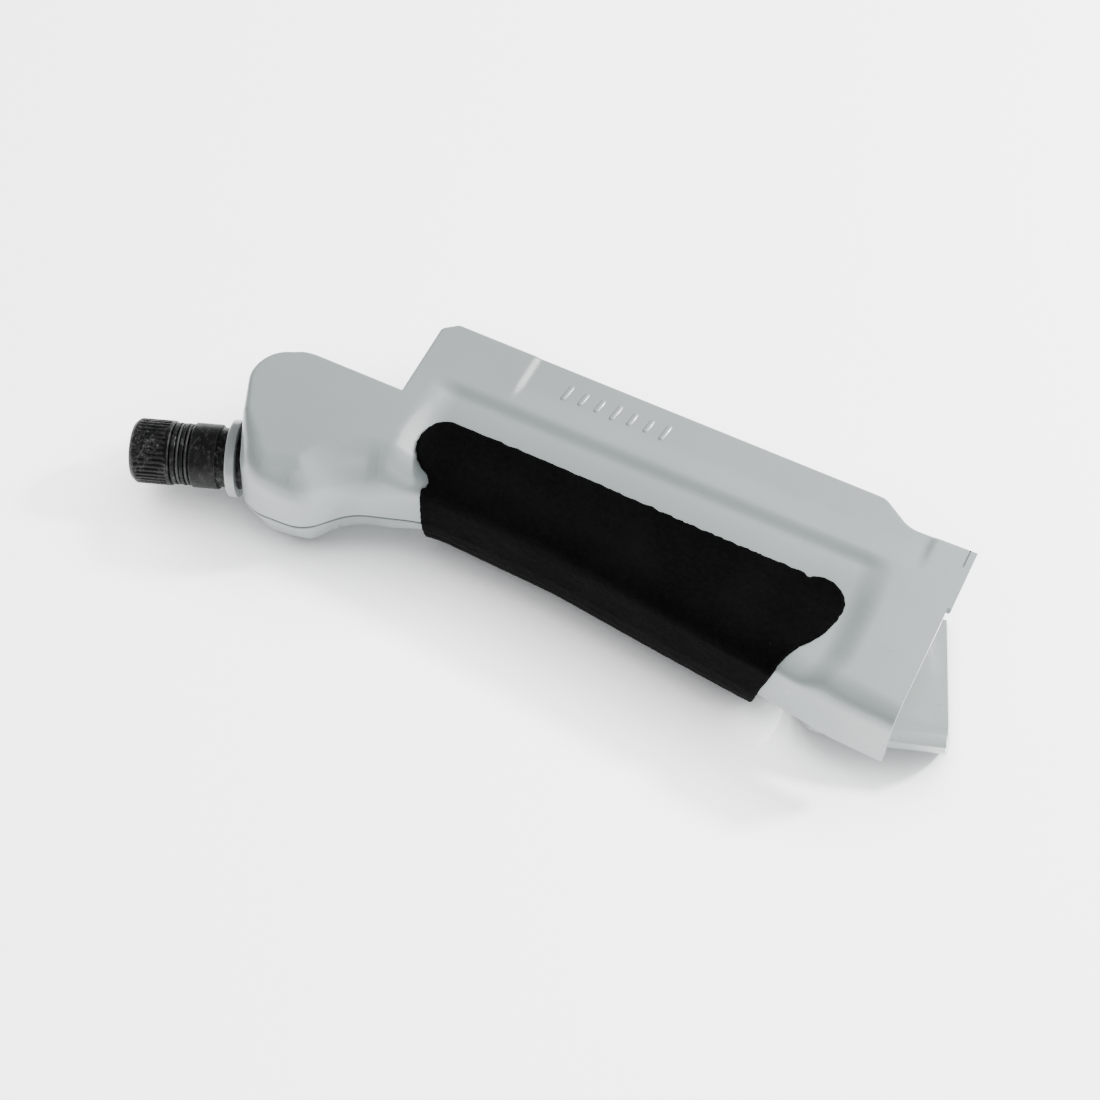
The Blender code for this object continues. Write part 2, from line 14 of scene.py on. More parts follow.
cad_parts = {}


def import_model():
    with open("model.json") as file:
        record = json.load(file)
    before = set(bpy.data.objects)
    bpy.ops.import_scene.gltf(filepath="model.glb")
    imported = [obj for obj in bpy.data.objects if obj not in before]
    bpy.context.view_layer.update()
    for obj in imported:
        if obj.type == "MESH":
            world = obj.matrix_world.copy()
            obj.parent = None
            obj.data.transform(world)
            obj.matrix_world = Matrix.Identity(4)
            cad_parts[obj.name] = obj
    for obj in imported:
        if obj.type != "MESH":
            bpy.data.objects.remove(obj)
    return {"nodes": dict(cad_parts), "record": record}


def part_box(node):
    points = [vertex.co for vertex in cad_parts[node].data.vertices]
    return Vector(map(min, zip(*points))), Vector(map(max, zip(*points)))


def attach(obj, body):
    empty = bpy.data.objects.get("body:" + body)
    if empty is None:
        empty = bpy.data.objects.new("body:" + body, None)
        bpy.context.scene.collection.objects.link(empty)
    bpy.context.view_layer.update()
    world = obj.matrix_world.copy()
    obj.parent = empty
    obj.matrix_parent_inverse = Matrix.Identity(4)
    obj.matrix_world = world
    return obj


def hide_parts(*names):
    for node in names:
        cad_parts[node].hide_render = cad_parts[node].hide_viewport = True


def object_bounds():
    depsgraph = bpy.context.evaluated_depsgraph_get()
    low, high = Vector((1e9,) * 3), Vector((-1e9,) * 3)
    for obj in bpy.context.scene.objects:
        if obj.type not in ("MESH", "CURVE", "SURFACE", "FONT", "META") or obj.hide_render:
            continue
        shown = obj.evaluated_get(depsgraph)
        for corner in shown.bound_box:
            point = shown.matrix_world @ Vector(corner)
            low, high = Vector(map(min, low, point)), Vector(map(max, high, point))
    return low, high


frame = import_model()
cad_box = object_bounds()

MM = 0.001
MOUTH_X = 101.7
RAIL_Y = 0.4
THICKNESS = 28.0
SEAM = 12.0
HALF_GAP = 0.17
WALL = 2.0
STRAIGHT = 1000.0
NOSE_TURN = 21.3
TAIL_SWING = 21.5
TAIL_FAR = 4.6
TAIL_NEAR_X = -7.3
TAIL_LEFT = -15.0

shell_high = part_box("upper_shell")[1]
ORIGIN = Vector((shell_high[0] - MOUTH_X * MM, shell_high[1] - RAIL_Y * MM, 0.0))
JOINTS = {joint["name"]: joint for joint in frame["record"]["behaviour"]["joints"]}
PIVOT = (Vector(JOINTS["tail_swivel"]["pos_m"]) - ORIGIN) / MM
NOSE_AXIS = Vector(JOINTS["focus_turn"]["axis"]).normalized()
# the collar's pivot lies at its inner end, this far out along the optical axis from the head's left face
COLLAR_START = 15.3
NOSE_FACE = (Vector(JOINTS["focus_turn"]["pos_m"]) - ORIGIN) / MM - NOSE_AXIS * COLLAR_START

# Seam outline: x, y, corner radius, upper edge radius, lower edge radius, inward lean of the upper wall,
# how far the upper edge is a chamfer instead of a round, and inward lean of the lower wall
OUTLINE_FAR = [
    (-53.2, -42.5, 0.0, 1.9, 5.5, 1.0, 0.2, 1.2),
    (-58.4, -32.0, 9.5, 1.2, 4.0, 1.5, 0.0, 0.7),
    (-55.6, -23.6, 9.5, 1.0, 4.0, 1.6, 0.0, 0.7),
    (-47.0, -20.7, 14.0, 0.8, 4.0, 1.3, 0.0, 0.7),
    (-25.2, -21.0, 0.0, 0.8, 2.0, 0.9, 0.0, 0.7),
    (-25.7, -2.6, 2.4, 0.8, 1.2, 0.8, 0.0, 0.7),
    (-22.0, 0.4, 2.4, 0.8, 1.2, 0.8, 0.0, 0.7),
    (80.0, 0.4, 5.0, 0.9, 2.0, 0.8, 0.0, 0.7),
    (87.0, -4.3, 6.0, 0.9, 2.0, 0.8, 0.0, 0.7),
    (MOUTH_X, -3.9, 0.0, 0.9, 2.0, 0.8, 0.0, 0.7),
]
OUTLINE_NEAR = [
    (-53.2, -42.5, 0.0, 1.9, 5.5, 1.0, 0.2, 1.2),
    (-46.4, -56.2, 9.0, 5.4, 5.5, 0.8, 0.4, 2.2),
    (-31.2, -55.3, 9.5, 7.0, 5.5, 0.7, 0.6, 2.6),
    (-24.0, -46.8, 14.0, 9.0, 8.0, 0.7, 0.6, 2.2),
    (-8.0, -41.2, 26.0, 7.4, 10.0, 0.7, 0.3, 0.8),
    (22.0, -42.0, 80.0, 6.4, 10.0, 0.7, 0.0, 0.7),
    (73.0, -47.4, 60.0, 6.2, 10.0, 0.7, 0.0, 0.7),
    (89.0, -49.8, 30.0, 5.4, 10.0, 0.7, 0.0, 0.7),
    (MOUTH_X, -50.3, 0.0, 4.6, 10.0, 0.7, 0.0, 0.7),
]
# Matching places on the two outlines, which a section joins: far (x, y), near (x, y)
SECTION_KEYS = [
    ((-53.2, -42.5), (-53.2, -42.5)),
    ((-58.4, -32.0), (-50.2, -48.6)),
    ((-55.6, -23.6), (-46.4, -56.2)),
    ((-47.0, -20.7), (-41.0, -55.9)),
    ((-33.0, -20.9), (-31.2, -55.3)),
    ((-25.2, -21.0), (-21.8, -46.2)),
    ((-25.7, -2.6), (-18.2, -44.8)),
    ((-22.0, 0.4), (-15.8, -44.0)),
    ((-12.0, 0.4), (-11.0, -42.3)),
    ((80.0, 0.4), (80.0, -48.4)),
    ((MOUTH_X, -3.9), (MOUTH_X, -50.3)),
]
STATION_STEP = 0.45
OUTER_SPACING = 0.55
INNER_SPACING = 0.9
LIP_HEIGHT = 0.34
WALL_STEPS = 6
LOWER_GRIP_LEFT = -20.0
LOWER_GRIP_RIGHT = 81.0
BAY_CLEARANCE = 0.7
# screws and locating pins, as in the CAD
SCREW_PLACES = [(-43.5, -28.0), (-35.0, -50.0), (-18.5, -7.0), (24.0, -7.0), (60.0, -7.0)]
PIN_PLACES = [(-32.5, -26.5), (42.0, -7.0)]
NEAR_EDGE_SCREW = 2
POST_RADIUS = 3.7
POST_TOP = 26.2
POST_FOOT = 0.9
POST_GAP = 0.35
COUNTERBORE = 3.0
SLIM_COUNTERBORE = 5.2
CROSS_STEPS = 110
ROUND_STEPS = 12


# ---------------------------------------------------------------- small tools

def smoothstep(value):
    t = np.clip(value, 0.0, 1.0)
    return t * t * (3.0 - 2.0 * t)


def world(points):
    """Design millimetres to world metres."""
    return np.asarray(points, dtype=float) * MM + np.array(ORIGIN)


def make_mesh(name, vertices, faces, smooth=True):
    mesh = bpy.data.meshes.new(name)
    mesh.from_pydata([tuple(v) for v in vertices], [], faces)
    mesh.validate()
    if smooth:
        mesh.shade_smooth()
    item = bpy.data.objects.new(name, mesh)
    bpy.context.scene.collection.objects.link(item)
    return item


def grid_faces(rows, columns, start=0, flip=False):
    """Quads over a grid of points, numbered from start."""
    faces = []
    for i in range(rows - 1):
        for j in range(columns - 1):
            k = j + 1
            a = start + i * columns + j
            b = start + i * columns + k
            c = start + (i + 1) * columns + k
            d = start + (i + 1) * columns + j
            faces.append((d, c, b, a) if flip else (a, b, c, d))
    return faces


def rim_faces(outer, inner):
    """Quads between two matching border loops of vertex numbers."""
    count = len(outer)
    return [(outer[i], inner[i], inner[(i + 1) % count], outer[(i + 1) % count]) for i in range(count)]


def skin_object(name, outer, inner):
    """Closed body between two matching grids of points in the design frame."""
    rows, columns = outer.shape[:2]
    size = rows * columns
    vertices = world(np.concatenate([outer.reshape(-1, 3), inner.reshape(-1, 3)]))
    faces = grid_faces(rows, columns) + grid_faces(rows, columns, size, flip=True)
    border = list(range(columns))
    border += [i * columns + columns - 1 for i in range(1, rows)]
    border += [(rows - 1) * columns + j for j in range(columns - 2, -1, -1)]
    border += [i * columns for i in range(rows - 2, 0, -1)]
    inside = [value + size for value in border]
    return make_mesh(name, vertices, faces + rim_faces(border, inside))


def sharpen(item, degrees):
    item.data.set_sharp_from_angle(angle=radians(degrees))


# ---------------------------------------------------------------- shell outline and sections

def rounded_line(corners):
    """Dense polyline with arcs: rows of x, y, convex limit, then the edge values of the outline."""
    rows = []

    def add(x, y, limit, values):
        rows.append((x, y, limit, *values))

    def add_run(start, end, first, second):
        count = max(1, int((end - start).length / (STATION_STEP * 0.5)))
        for step in range(1, count):
            t = step / count
            place = start.lerp(end, t)
            add(place.x, place.y, STRAIGHT, [a * (1 - t) + b * t for a, b in zip(first[3:], second[3:])])

    side = 1.0 if corners is OUTLINE_FAR else -1.0
    add(*corners[0][:2], STRAIGHT, corners[0][3:])
    here_end = Vector(corners[0][:2])
    for before, corner, after in zip(corners, corners[1:], corners[2:]):
        here = Vector(corner[:2])
        back = (Vector(before[:2]) - here).normalized()
        ahead = (Vector(after[:2]) - here).normalized()
        half = back.angle(ahead) / 2
        radius = corner[2]
        reach = radius / tan(half)
        arc_start = here + back * reach
        add_run(here_end, arc_start, before, corner)
        if radius == 0.0:
            add(here.x, here.y, STRAIGHT, corner[3:])
            here_end = here
            continue
        centre = here + (back + ahead).normalized() * radius / sin(half)
        start = arc_start - centre
        end = here + ahead * reach - centre
        first = math.atan2(start.y, start.x)
        sweep = (math.atan2(end.y, end.x) - first + pi) % (2 * pi) - pi
        limit = radius if sweep * side < 0 else STRAIGHT
        count = max(2, int(abs(sweep) * radius / (STATION_STEP * 0.5)), int(abs(sweep) / radians(4)))
        for step in range(count + 1):
            angle = first + sweep * step / count
            add(centre.x + radius * cos(angle), centre.y + radius * sin(angle), limit, corner[3:])
        here_end = here + ahead * reach
    add_run(here_end, Vector(corners[-1][:2]), corners[-2], corners[-1])
    add(*corners[-1][:2], STRAIGHT, corners[-1][3:])
    return np.array(rows)


def with_normals(rows, side):
    """Adds mitred outward normals; side is 1 where outwards is on the left of the travel direction."""
    points = rows[:, :2]
    along = np.diff(points, axis=0)
    along /= np.linalg.norm(along, axis=1)[:, None]
    across = np.stack([-along[:, 1], along[:, 0]], axis=1) * side
    first, second = across[:-1], across[1:]
    stretch = 1.0 + np.sum(first * second, axis=1)
    middle = (first + second) / stretch[:, None]
    normals = np.vstack([across[:1], middle, across[-1:]])
    normals[-1] = (0.0, side)
    return np.hstack([rows, normals])


def resample(rows, places, counts):
    """Rows at matched stations: the line is cut at the nearest points to the key places, and each
    stretch is divided evenly."""
    length = np.concatenate([[0.0], np.cumsum(np.linalg.norm(np.diff(rows[:, :2], axis=0), axis=1))])
    marks = [length[np.argmin(np.sum((rows[:, :2] - np.array(place)) ** 2, axis=1))] for place in places]
    marks[0], marks[-1] = 0.0, length[-1]
    stops = []
    for low, high, count in zip(marks, marks[1:], counts):
        stops += list(np.linspace(low, high, count, endpoint=False))
    stops.append(marks[-1])
    return np.stack([np.interp(stops, length, rows[:, k]) for k in range(rows.shape[1])], axis=1)


def section_counts():
    counts = []
    for (far_a, near_a), (far_b, near_b) in zip(SECTION_KEYS, SECTION_KEYS[1:]):
        reach = max(math.dist(far_a, far_b), math.dist(near_a, near_b))
        counts.append(max(4, int(reach / STATION_STEP)))
    return counts


def soften(values, reach):
    """Moving average with a raised-cosine window, so that the rounded edge changes without creases."""
    window = np.hanning(2 * reach + 3)[1:-1]
    padded = np.pad(values, reach, mode="edge")
    return np.convolve(padded, window / window.sum(), mode="valid")


COUNTS = section_counts()
FAR_LINE = resample(with_normals(rounded_line(OUTLINE_FAR), 1.0), [key[0] for key in SECTION_KEYS], COUNTS)
NEAR_LINE = resample(with_normals(rounded_line(OUTLINE_NEAR), -1.0), [key[1] for key in SECTION_KEYS], COUNTS)
for column in (3, 4, 5, 6, 7):
    NEAR_LINE[:, column] = soften(NEAR_LINE[:, column], 10)
for column in (-2, -1):
    NEAR_LINE[:, column] = soften(NEAR_LINE[:, column], 3)
# the two lines meet at the middle of the left edge, where they share one outward direction
LEFT_NORMAL = (FAR_LINE[0, -2:] + NEAR_LINE[0, -2:]) / 2
FAR_LINE[0, -2:] = LEFT_NORMAL
NEAR_LINE[0, -2:] = LEFT_NORMAL
WHOLE_LINE = np.vstack([FAR_LINE[::-1], NEAR_LINE[1:]])


def grip_sink(x, y, left=-20.0, right=88.0):
    """How far the grip lies under the face round it: broad soft ends, and a floor that falls away
    from a shallow far edge."""
    left_line = left + 0.9 * smoothstep((-30.0 - y) / 8.0) + 3.8 * smoothstep((-38.0 - y) / 12.0)
    right_line = right + 0.9 * smoothstep((-16.0 - y) / 12.0) - 4.4 * smoothstep((-39.0 - y) / 14.0)
    ends = smoothstep((x - left_line) / 7.6) * smoothstep((right_line - x) / 6.8)
    return ends * (1.3 * smoothstep((-14.4 - y) / 3.6) + 1.2 * smoothstep((-19.0 - y) / 12.0))


def rail_sink(x, y):
    """Shallow step along the rail between two short creases, fading out towards the grip."""
    ends = smoothstep((x + 2.6) / 1.5) * smoothstep((93.2 - x) / 1.7)
    return 0.75 * ends * smoothstep((y + 15.0) / 7.0)


def top_sink(x, y):
    return np.maximum(grip_sink(x, y), rail_sink(x, y))


def edge_rings(line, upper, inset, sunk):
    """Rings of one half along an outline, from the seam lip up the wall and round the edge to the face."""
    seam = SEAM + HALF_GAP if upper else SEAM - HALF_GAP
    face = THICKNESS - inset if upper else inset
    towards = 1.0 if upper else -1.0
    radius = np.maximum(line[:, 3 if upper else 4] - 0.4 * inset, 0.3)
    lean = line[:, 5 if upper else 7]
    chamfer = line[:, 6] if upper else np.zeros(len(line))
    limit = line[:, 2] * 0.97
    lip = [(0.0, 0.0), (0.0, LIP_HEIGHT)] if inset else [(0.45, 0.0), (0.13, 0.1), (0.0, LIP_HEIGHT)]
    profile = [(np.full(len(line), inset + pull), np.full(len(line), seam + towards * lift), 0.0)
               for pull, lift in lip]
    wall_top = face - towards * radius
    for step in range(1, WALL_STEPS + 1):
        t = step / WALL_STEPS
        profile.append((inset + lean * t, (seam + towards * LIP_HEIGHT) * (1 - t) + wall_top * t, 0.0))
    for step in range(1, ROUND_STEPS + 1):
        t = step / ROUND_STEPS
        turn = t * pi / 2
        across = (1 - cos(turn)) * (1 - chamfer) + (0.85 * t + 0.15 * (1 - cos(turn))) * chamfer
        along = (1 - sin(turn)) * (1 - chamfer) + (1 - t - 0.15 * sin(pi * t)) * chamfer
        profile.append((inset + lean + radius * across, face - towards * radius * along, sin(turn)))
    rings = []
    for pull, z, weight in profile:
        pull = np.minimum(pull, limit)
        x = line[:, 0] - line[:, -2] * pull
        y = line[:, 1] - line[:, -1] * pull
        if sunk:
            z = z - towards * weight * sink_at(x, y, upper)
        rings.append(np.stack([x, y, z], axis=1))
    return np.array(rings)


def sink_at(x, y, upper):
    return top_sink(x, y) if upper else grip_sink(x, y, LOWER_GRIP_LEFT, LOWER_GRIP_RIGHT)


def half_grid(upper):
    """Outer surface of one half as sections: one row for each station, from the far seam over the face to
    the near seam."""
    towards = 1.0 if upper else -1.0
    far = edge_rings(FAR_LINE, upper, 0.0, True).transpose(1, 0, 2)
    near = edge_rings(NEAR_LINE, upper, 0.0, True).transpose(1, 0, 2)
    steps = np.linspace(0.0, 1.0, CROSS_STEPS + 1)[1:-1]
    top = far[:, -1:, :] * (1 - steps)[None, :, None] + near[:, -1:, :] * steps[None, :, None]
    face = THICKNESS if upper else 0.0
    top[..., 2] = face - towards * sink_at(top[..., 0], top[..., 1], upper)
    return np.concatenate([far, top, near[:, ::-1]], axis=1)


def filled_face(ring, upper, inset, sunk, spacing):
    """Face inside the last ring: points on an even lattice joined to the ring and across the mouth.
    Returns all the points, the triangles, and the number of points along the mouth."""
    mouth_count = max(8, int(math.dist(ring[0, :2], ring[-1, :2]) / spacing))
    share = np.linspace(0.0, 1.0, mouth_count + 2)[1:-1, None]
    mouth = ring[-1:, :2] * (1 - share) + ring[:1, :2] * share
    border = np.vstack([ring[:, :2], mouth])
    low, high = border.min(axis=0), border.max(axis=0)
    xs, ys = np.arange(low[0], high[0], spacing), np.arange(low[1], high[1], spacing)
    lattice = np.stack(np.meshgrid(xs, ys), axis=-1).reshape(-1, 2)
    start, end = border, np.roll(border, -1, axis=0)
    keep = []
    for place in lattice:
        along = end - start
        offset = place - start
        size = np.maximum(np.sum(along * along, axis=1), 1e-12)
        t = np.clip(np.sum(offset * along, axis=1) / size, 0.0, 1.0)
        gap = np.min(np.sum((offset - along * t[:, None]) ** 2, axis=1))
        level = (start[:, 1] > place[1]) != (end[:, 1] > place[1])
        cross = start[:, 0] + along[:, 0] * (place[1] - start[:, 1]) / np.where(level, along[:, 1], 1.0)
        inside = np.count_nonzero(level & (place[0] < cross)) % 2 == 1
        if inside and gap > (0.5 * spacing) ** 2:
            keep.append(place)
    points = [Vector(p) for p in np.vstack([border, np.array(keep)])]
    found = delaunay_2d_cdt(points, [], [list(range(len(border)))], 1, 1e-5)
    flat = np.array([tuple(p) for p in found[0]])
    origin = found[3]
    face = THICKNESS - inset if upper else inset
    towards = 1.0 if upper else -1.0
    z = face - (towards * sink_at(flat[:, 0], flat[:, 1], upper) if sunk else 0.0)
    spots = np.column_stack([flat, np.broadcast_to(z, len(flat))])
    ring_of = {}
    for number, sources in enumerate(origin):
        for source in sources:
            ring_of[source] = number
    mouth_numbers = [ring_of[len(ring) + k] for k in range(mouth_count)]
    return spots, [tuple(f) for f in found[2]], mouth_numbers


def half_skin(name, upper, sunk=True):
    """Closed shell of one half: outer surface, inner surface, and the rims at the seam and the mouth."""
    vertices, faces, mouths, seams = [], [], [], []
    for inset, spacing in ((0.0, OUTER_SPACING), (WALL, INNER_SPACING)):
        rings = edge_rings(WHOLE_LINE, upper, inset, sunk)
        rows, count = rings.shape[:2]
        base = sum(len(v) for v in vertices)
        vertices.append(rings.reshape(-1, 3))
        faces += grid_faces(rows, count, base)
        spots, triangles, mouth = filled_face(rings[-1], upper, inset, sunk, spacing)
        face_base = base + rows * count
        vertices.append(spots)
        faces += [tuple(face_base + v for v in triangle) for triangle in triangles]
        first_side = [base + r * count for r in range(rows)]
        last_side = [base + r * count + count - 1 for r in range(rows)]
        mouths.append((last_side, [face_base + v for v in mouth], first_side[::-1]))
        seams.append(list(range(base, base + count)))
    outer, inner = seams
    faces += [(outer[k], outer[k + 1], inner[k + 1], inner[k]) for k in range(len(outer) - 1)]
    outline = [n for part in mouths[0] for n in part]
    hollow = [n for part in mouths[1] for n in part]
    faces += lacing(np.vstack(vertices), outline, hollow)
    shell = make_mesh(name, world(np.vstack(vertices)), faces)
    clean(shell)
    return shell


def lacing(points, first, second):
    """Triangles between two open lines of vertex numbers, each step taking the shorter diagonal."""
    faces = []
    i = j = 0
    while i < len(first) - 1 or j < len(second) - 1:
        ahead = math.dist(points[first[min(i + 1, len(first) - 1)]], points[second[j]])
        behind = math.dist(points[first[i]], points[second[min(j + 1, len(second) - 1)]])
        if j == len(second) - 1 or (i < len(first) - 1 and ahead <= behind):
            faces.append((first[i], first[i + 1], second[j]))
            i += 1
        else:
            faces.append((first[i], second[j + 1], second[j]))
            j += 1
    return faces


def ride(piece, body, material, replaces=()):
    """Gives a piece its material, its body and the CAD parts that it replaces."""
    piece.data.materials.clear()
    piece.data.materials.append(material)
    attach(piece, body)
    if replaces:
        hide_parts(*replaces)
    return piece


# ---------------------------------------------------------------- materials

class Nodes:
    """Short hand for building one node material."""

    def __init__(self, name, colour, roughness, metallic=0.0):
        self.material = bpy.data.materials.new(name)
        self.material.use_nodes = True
        self.tree = self.material.node_tree
        self.shader = self.tree.nodes["Principled BSDF"]
        self.shader.inputs["Base Color"].default_value = (*colour, 1.0)
        self.shader.inputs["Roughness"].default_value = roughness
        self.shader.inputs["Metallic"].default_value = metallic
        self.place = self.tree.nodes.new("ShaderNodeTexCoord").outputs["Object"]

    def node(self, kind, **settings):
        made = self.tree.nodes.new(kind)
        for key, value in settings.items():
            setattr(made, key, value)
        return made

    def link(self, source, target):
        self.tree.links.new(source, target)

    def noise(self, scale, detail=4.0, roughness=0.5, stretch=None, turn=(0.0, 0.0, 0.0)):
        texture = self.node("ShaderNodeTexNoise")
        texture.inputs["Scale"].default_value = scale
        texture.inputs["Detail"].default_value = detail
        texture.inputs["Roughness"].default_value = roughness
        source = self.place
        if stretch:
            mapping = self.node("ShaderNodeMapping")
            mapping.inputs["Scale"].default_value = stretch
            mapping.inputs["Rotation"].default_value = turn
            self.link(self.place, mapping.inputs["Vector"])
            source = mapping.outputs["Vector"]
        self.link(source, texture.inputs["Vector"])
        return texture.outputs["Fac"]

    def ramp(self, source, low, high, start=0.0, end=1.0):
        made = self.node("ShaderNodeMapRange")
        made.inputs["From Min"].default_value = low
        made.inputs["From Max"].default_value = high
        made.inputs["To Min"].default_value = start
        made.inputs["To Max"].default_value = end
        self.link(source, made.inputs["Value"])
        return made.outputs["Result"]

    def math(self, operation, first, second):
        made = self.node("ShaderNodeMath", operation=operation)
        for socket, value in zip(made.inputs, (first, second)):
            if isinstance(value, float):
                socket.default_value = value
            else:
                self.link(value, socket)
        return made.outputs["Value"]

    def mix(self, factor, first, second):
        made = self.node("ShaderNodeMix", data_type="RGBA")
        for socket, value in zip((made.inputs["Factor"], made.inputs["A"], made.inputs["B"]),
                                 (factor, first, second)):
            if isinstance(value, tuple):
                socket.default_value = (*value, 1.0)
            elif isinstance(value, float):
                socket.default_value = value
            else:
                self.link(value, socket)
        return made.outputs["Result"]

    def bump(self, height, strength, distance):
        made = self.node("ShaderNodeBump")
        made.inputs["Strength"].default_value = strength
        made.inputs["Distance"].default_value = distance
        self.link(height, made.inputs["Height"])
        if self.shader.inputs["Normal"].links:
            self.link(self.shader.inputs["Normal"].links[0].from_socket, made.inputs["Normal"])
        self.link(made.outputs["Normal"], self.shader.inputs["Normal"])


def shell_plastic(name, colour=(0.262, 0.298, 0.292)):
    """Satin grey moulding: faint cloudiness, fine spark texture, sparse hairline scratches and scuffs."""
    n = Nodes(name, colour, 0.42)
    cloud = n.ramp(n.noise(28.0, 3.0), 0.35, 0.65)
    scratch = n.ramp(n.noise(90.0, 2.0, 0.6, (1.0, 26.0, 1.0), (0.0, 0.0, 0.5)), 0.735, 0.76)
    grains = n.ramp(n.noise(420.0, 3.0, 0.7), 0.66, 0.72)
    scuff = n.math("MULTIPLY", grains, n.ramp(n.noise(40.0, 2.0), 0.55, 0.7))
    dark = tuple(value * 0.955 for value in colour)
    light = tuple(min(1.0, value * 1.035) for value in colour)
    shade = n.mix(cloud, dark, light)
    marked = n.mix(n.math("MULTIPLY", scratch, 0.28), shade, (0.42, 0.45, 0.44))
    marked = n.mix(n.math("MULTIPLY", scuff, 0.35), marked, (0.5, 0.52, 0.52))
    n.link(marked, n.shader.inputs["Base Color"])
    n.link(n.ramp(n.noise(300.0, 4.0), 0.3, 0.7, 0.27, 0.33), n.shader.inputs["Roughness"])
    n.shader.inputs["Coat Weight"].default_value = 0.35
    n.shader.inputs["Coat Roughness"].default_value = 0.14
    n.bump(n.noise(2600.0, 2.0), 0.10, 0.00005)
    n.bump(scratch, 0.15, 0.00003)
    return n.material


def pad_suede(name):
    """Nearly black foam skin with a napped face: fibre clumps, pale lint and a soft sheen."""
    n = Nodes(name, (0.008, 0.008, 0.008), 0.92)
    clumps = n.noise(900.0, 6.0, 0.75)
    patch = n.ramp(n.noise(60.0, 4.0, 0.6), 0.42, 0.68)
    lint = n.ramp(n.noise(1500.0, 2.0, 0.8), 0.72, 0.76)
    shade = n.mix(n.ramp(clumps, 0.35, 0.7), (0.0006, 0.0006, 0.0006), (0.0022, 0.0022, 0.0023))
    shade = n.mix(n.math("MULTIPLY", patch, 0.35), shade, (0.004, 0.004, 0.004))
    shade = n.mix(n.math("MULTIPLY", lint, 0.3), shade, (0.03, 0.03, 0.03))
    n.link(shade, n.shader.inputs["Base Color"])
    n.shader.inputs["Sheen Weight"].default_value = 0.012
    n.shader.inputs["Sheen Roughness"].default_value = 0.3
    n.shader.inputs["Specular IOR Level"].default_value = 0.04
    n.bump(clumps, 0.5, 0.00018)
    n.bump(n.noise(220.0, 3.0), 0.3, 0.0003)
    return n.material


def worn_metal(name, colour, worn, roughness, metallic, amount=0.5, gloss=0.5):
    """Anodised or turned metal: streaks, handling marks, and edges worn through to a paler tone."""
    n = Nodes(name, colour, roughness, metallic)
    scuff = n.ramp(n.noise(900.0, 6.0, 0.75), 0.5, 0.66)
    patch = n.ramp(n.noise(210.0, 3.0, 0.6), 0.4, 0.66)
    streak = n.ramp(n.noise(260.0, 4.0, 0.7, (6.0, 1.0, 1.0), (0.0, 0.0, radians(NOSE_TURN))), 0.52, 0.7)
    edge = n.ramp(n.node("ShaderNodeNewGeometry").outputs["Pointiness"], 0.51, 0.58)
    marks = n.math("MULTIPLY", n.math("MAXIMUM", scuff, streak), patch)
    edge_wear = n.math("MULTIPLY", edge, n.ramp(scuff, 0.0, 0.6, 0.35, 1.0))
    rubbed = n.math("MULTIPLY", n.math("MAXIMUM", marks, edge_wear), amount)
    n.link(n.mix(rubbed, colour, worn), n.shader.inputs["Base Color"])
    polish = n.ramp(n.noise(400.0, 4.0), 0.3, 0.7, roughness * 0.8, roughness * 1.25)
    n.link(polish, n.shader.inputs["Roughness"])
    n.shader.inputs["Specular IOR Level"].default_value = gloss
    n.bump(n.noise(1800.0, 3.0), 0.15, 0.00004)
    return n.material


def soft_rubber(name):
    """Black rubber with a little pale dust."""
    n = Nodes(name, (0.012, 0.012, 0.012), 0.6)
    dust = n.ramp(n.noise(500.0, 4.0, 0.7), 0.5, 0.75)
    shade = n.mix(n.math("MULTIPLY", dust, 0.3), (0.01, 0.01, 0.01), (0.05, 0.05, 0.048))
    n.link(shade, n.shader.inputs["Base Color"])
    n.bump(n.noise(1200.0, 2.0), 0.2, 0.00004)
    return n.material


def clear_glass(name):
    """Coated optic: clear, with a faint tint that varies over the coating."""
    n = Nodes(name, (0.85, 0.93, 0.95), 0.03)
    n.shader.inputs["Transmission Weight"].default_value = 1.0
    n.link(n.mix(n.ramp(n.noise(120.0, 2.0), 0.3, 0.7), (0.8, 0.92, 0.95), (0.9, 0.9, 0.97)),
           n.shader.inputs["Base Color"])
    return n.material


def paper_floor(name):
    """Bright white paper that glows by itself, with a painted contact shadow: its glow is cut by ambient
    occlusion near the object standing on it.
    """
    n = Nodes(name, (0.86, 0.86, 0.865), 0.7)
    shade = n.mix(n.ramp(n.noise(9.0, 4.0, 0.6), 0.3, 0.7), (0.84, 0.842, 0.848), (0.875, 0.875, 0.878))
    n.link(shade, n.shader.inputs["Base Color"])
    n.link(shade, n.shader.inputs["Emission Color"])
    # painted contact shadow: the floor's emission strength falls with ambient occlusion where the object
    # stands close
    painted_shadow_ao = n.node("ShaderNodeAmbientOcclusion", samples=8)
    painted_shadow_ao.inputs["Distance"].default_value = 0.026
    n.link(n.ramp(painted_shadow_ao.outputs["AO"], 0.4, 0.96, 0.02, 3.4), n.shader.inputs["Emission Strength"])
    n.bump(n.noise(700.0, 4.0, 0.7), 0.12, 0.0001)
    return n.material


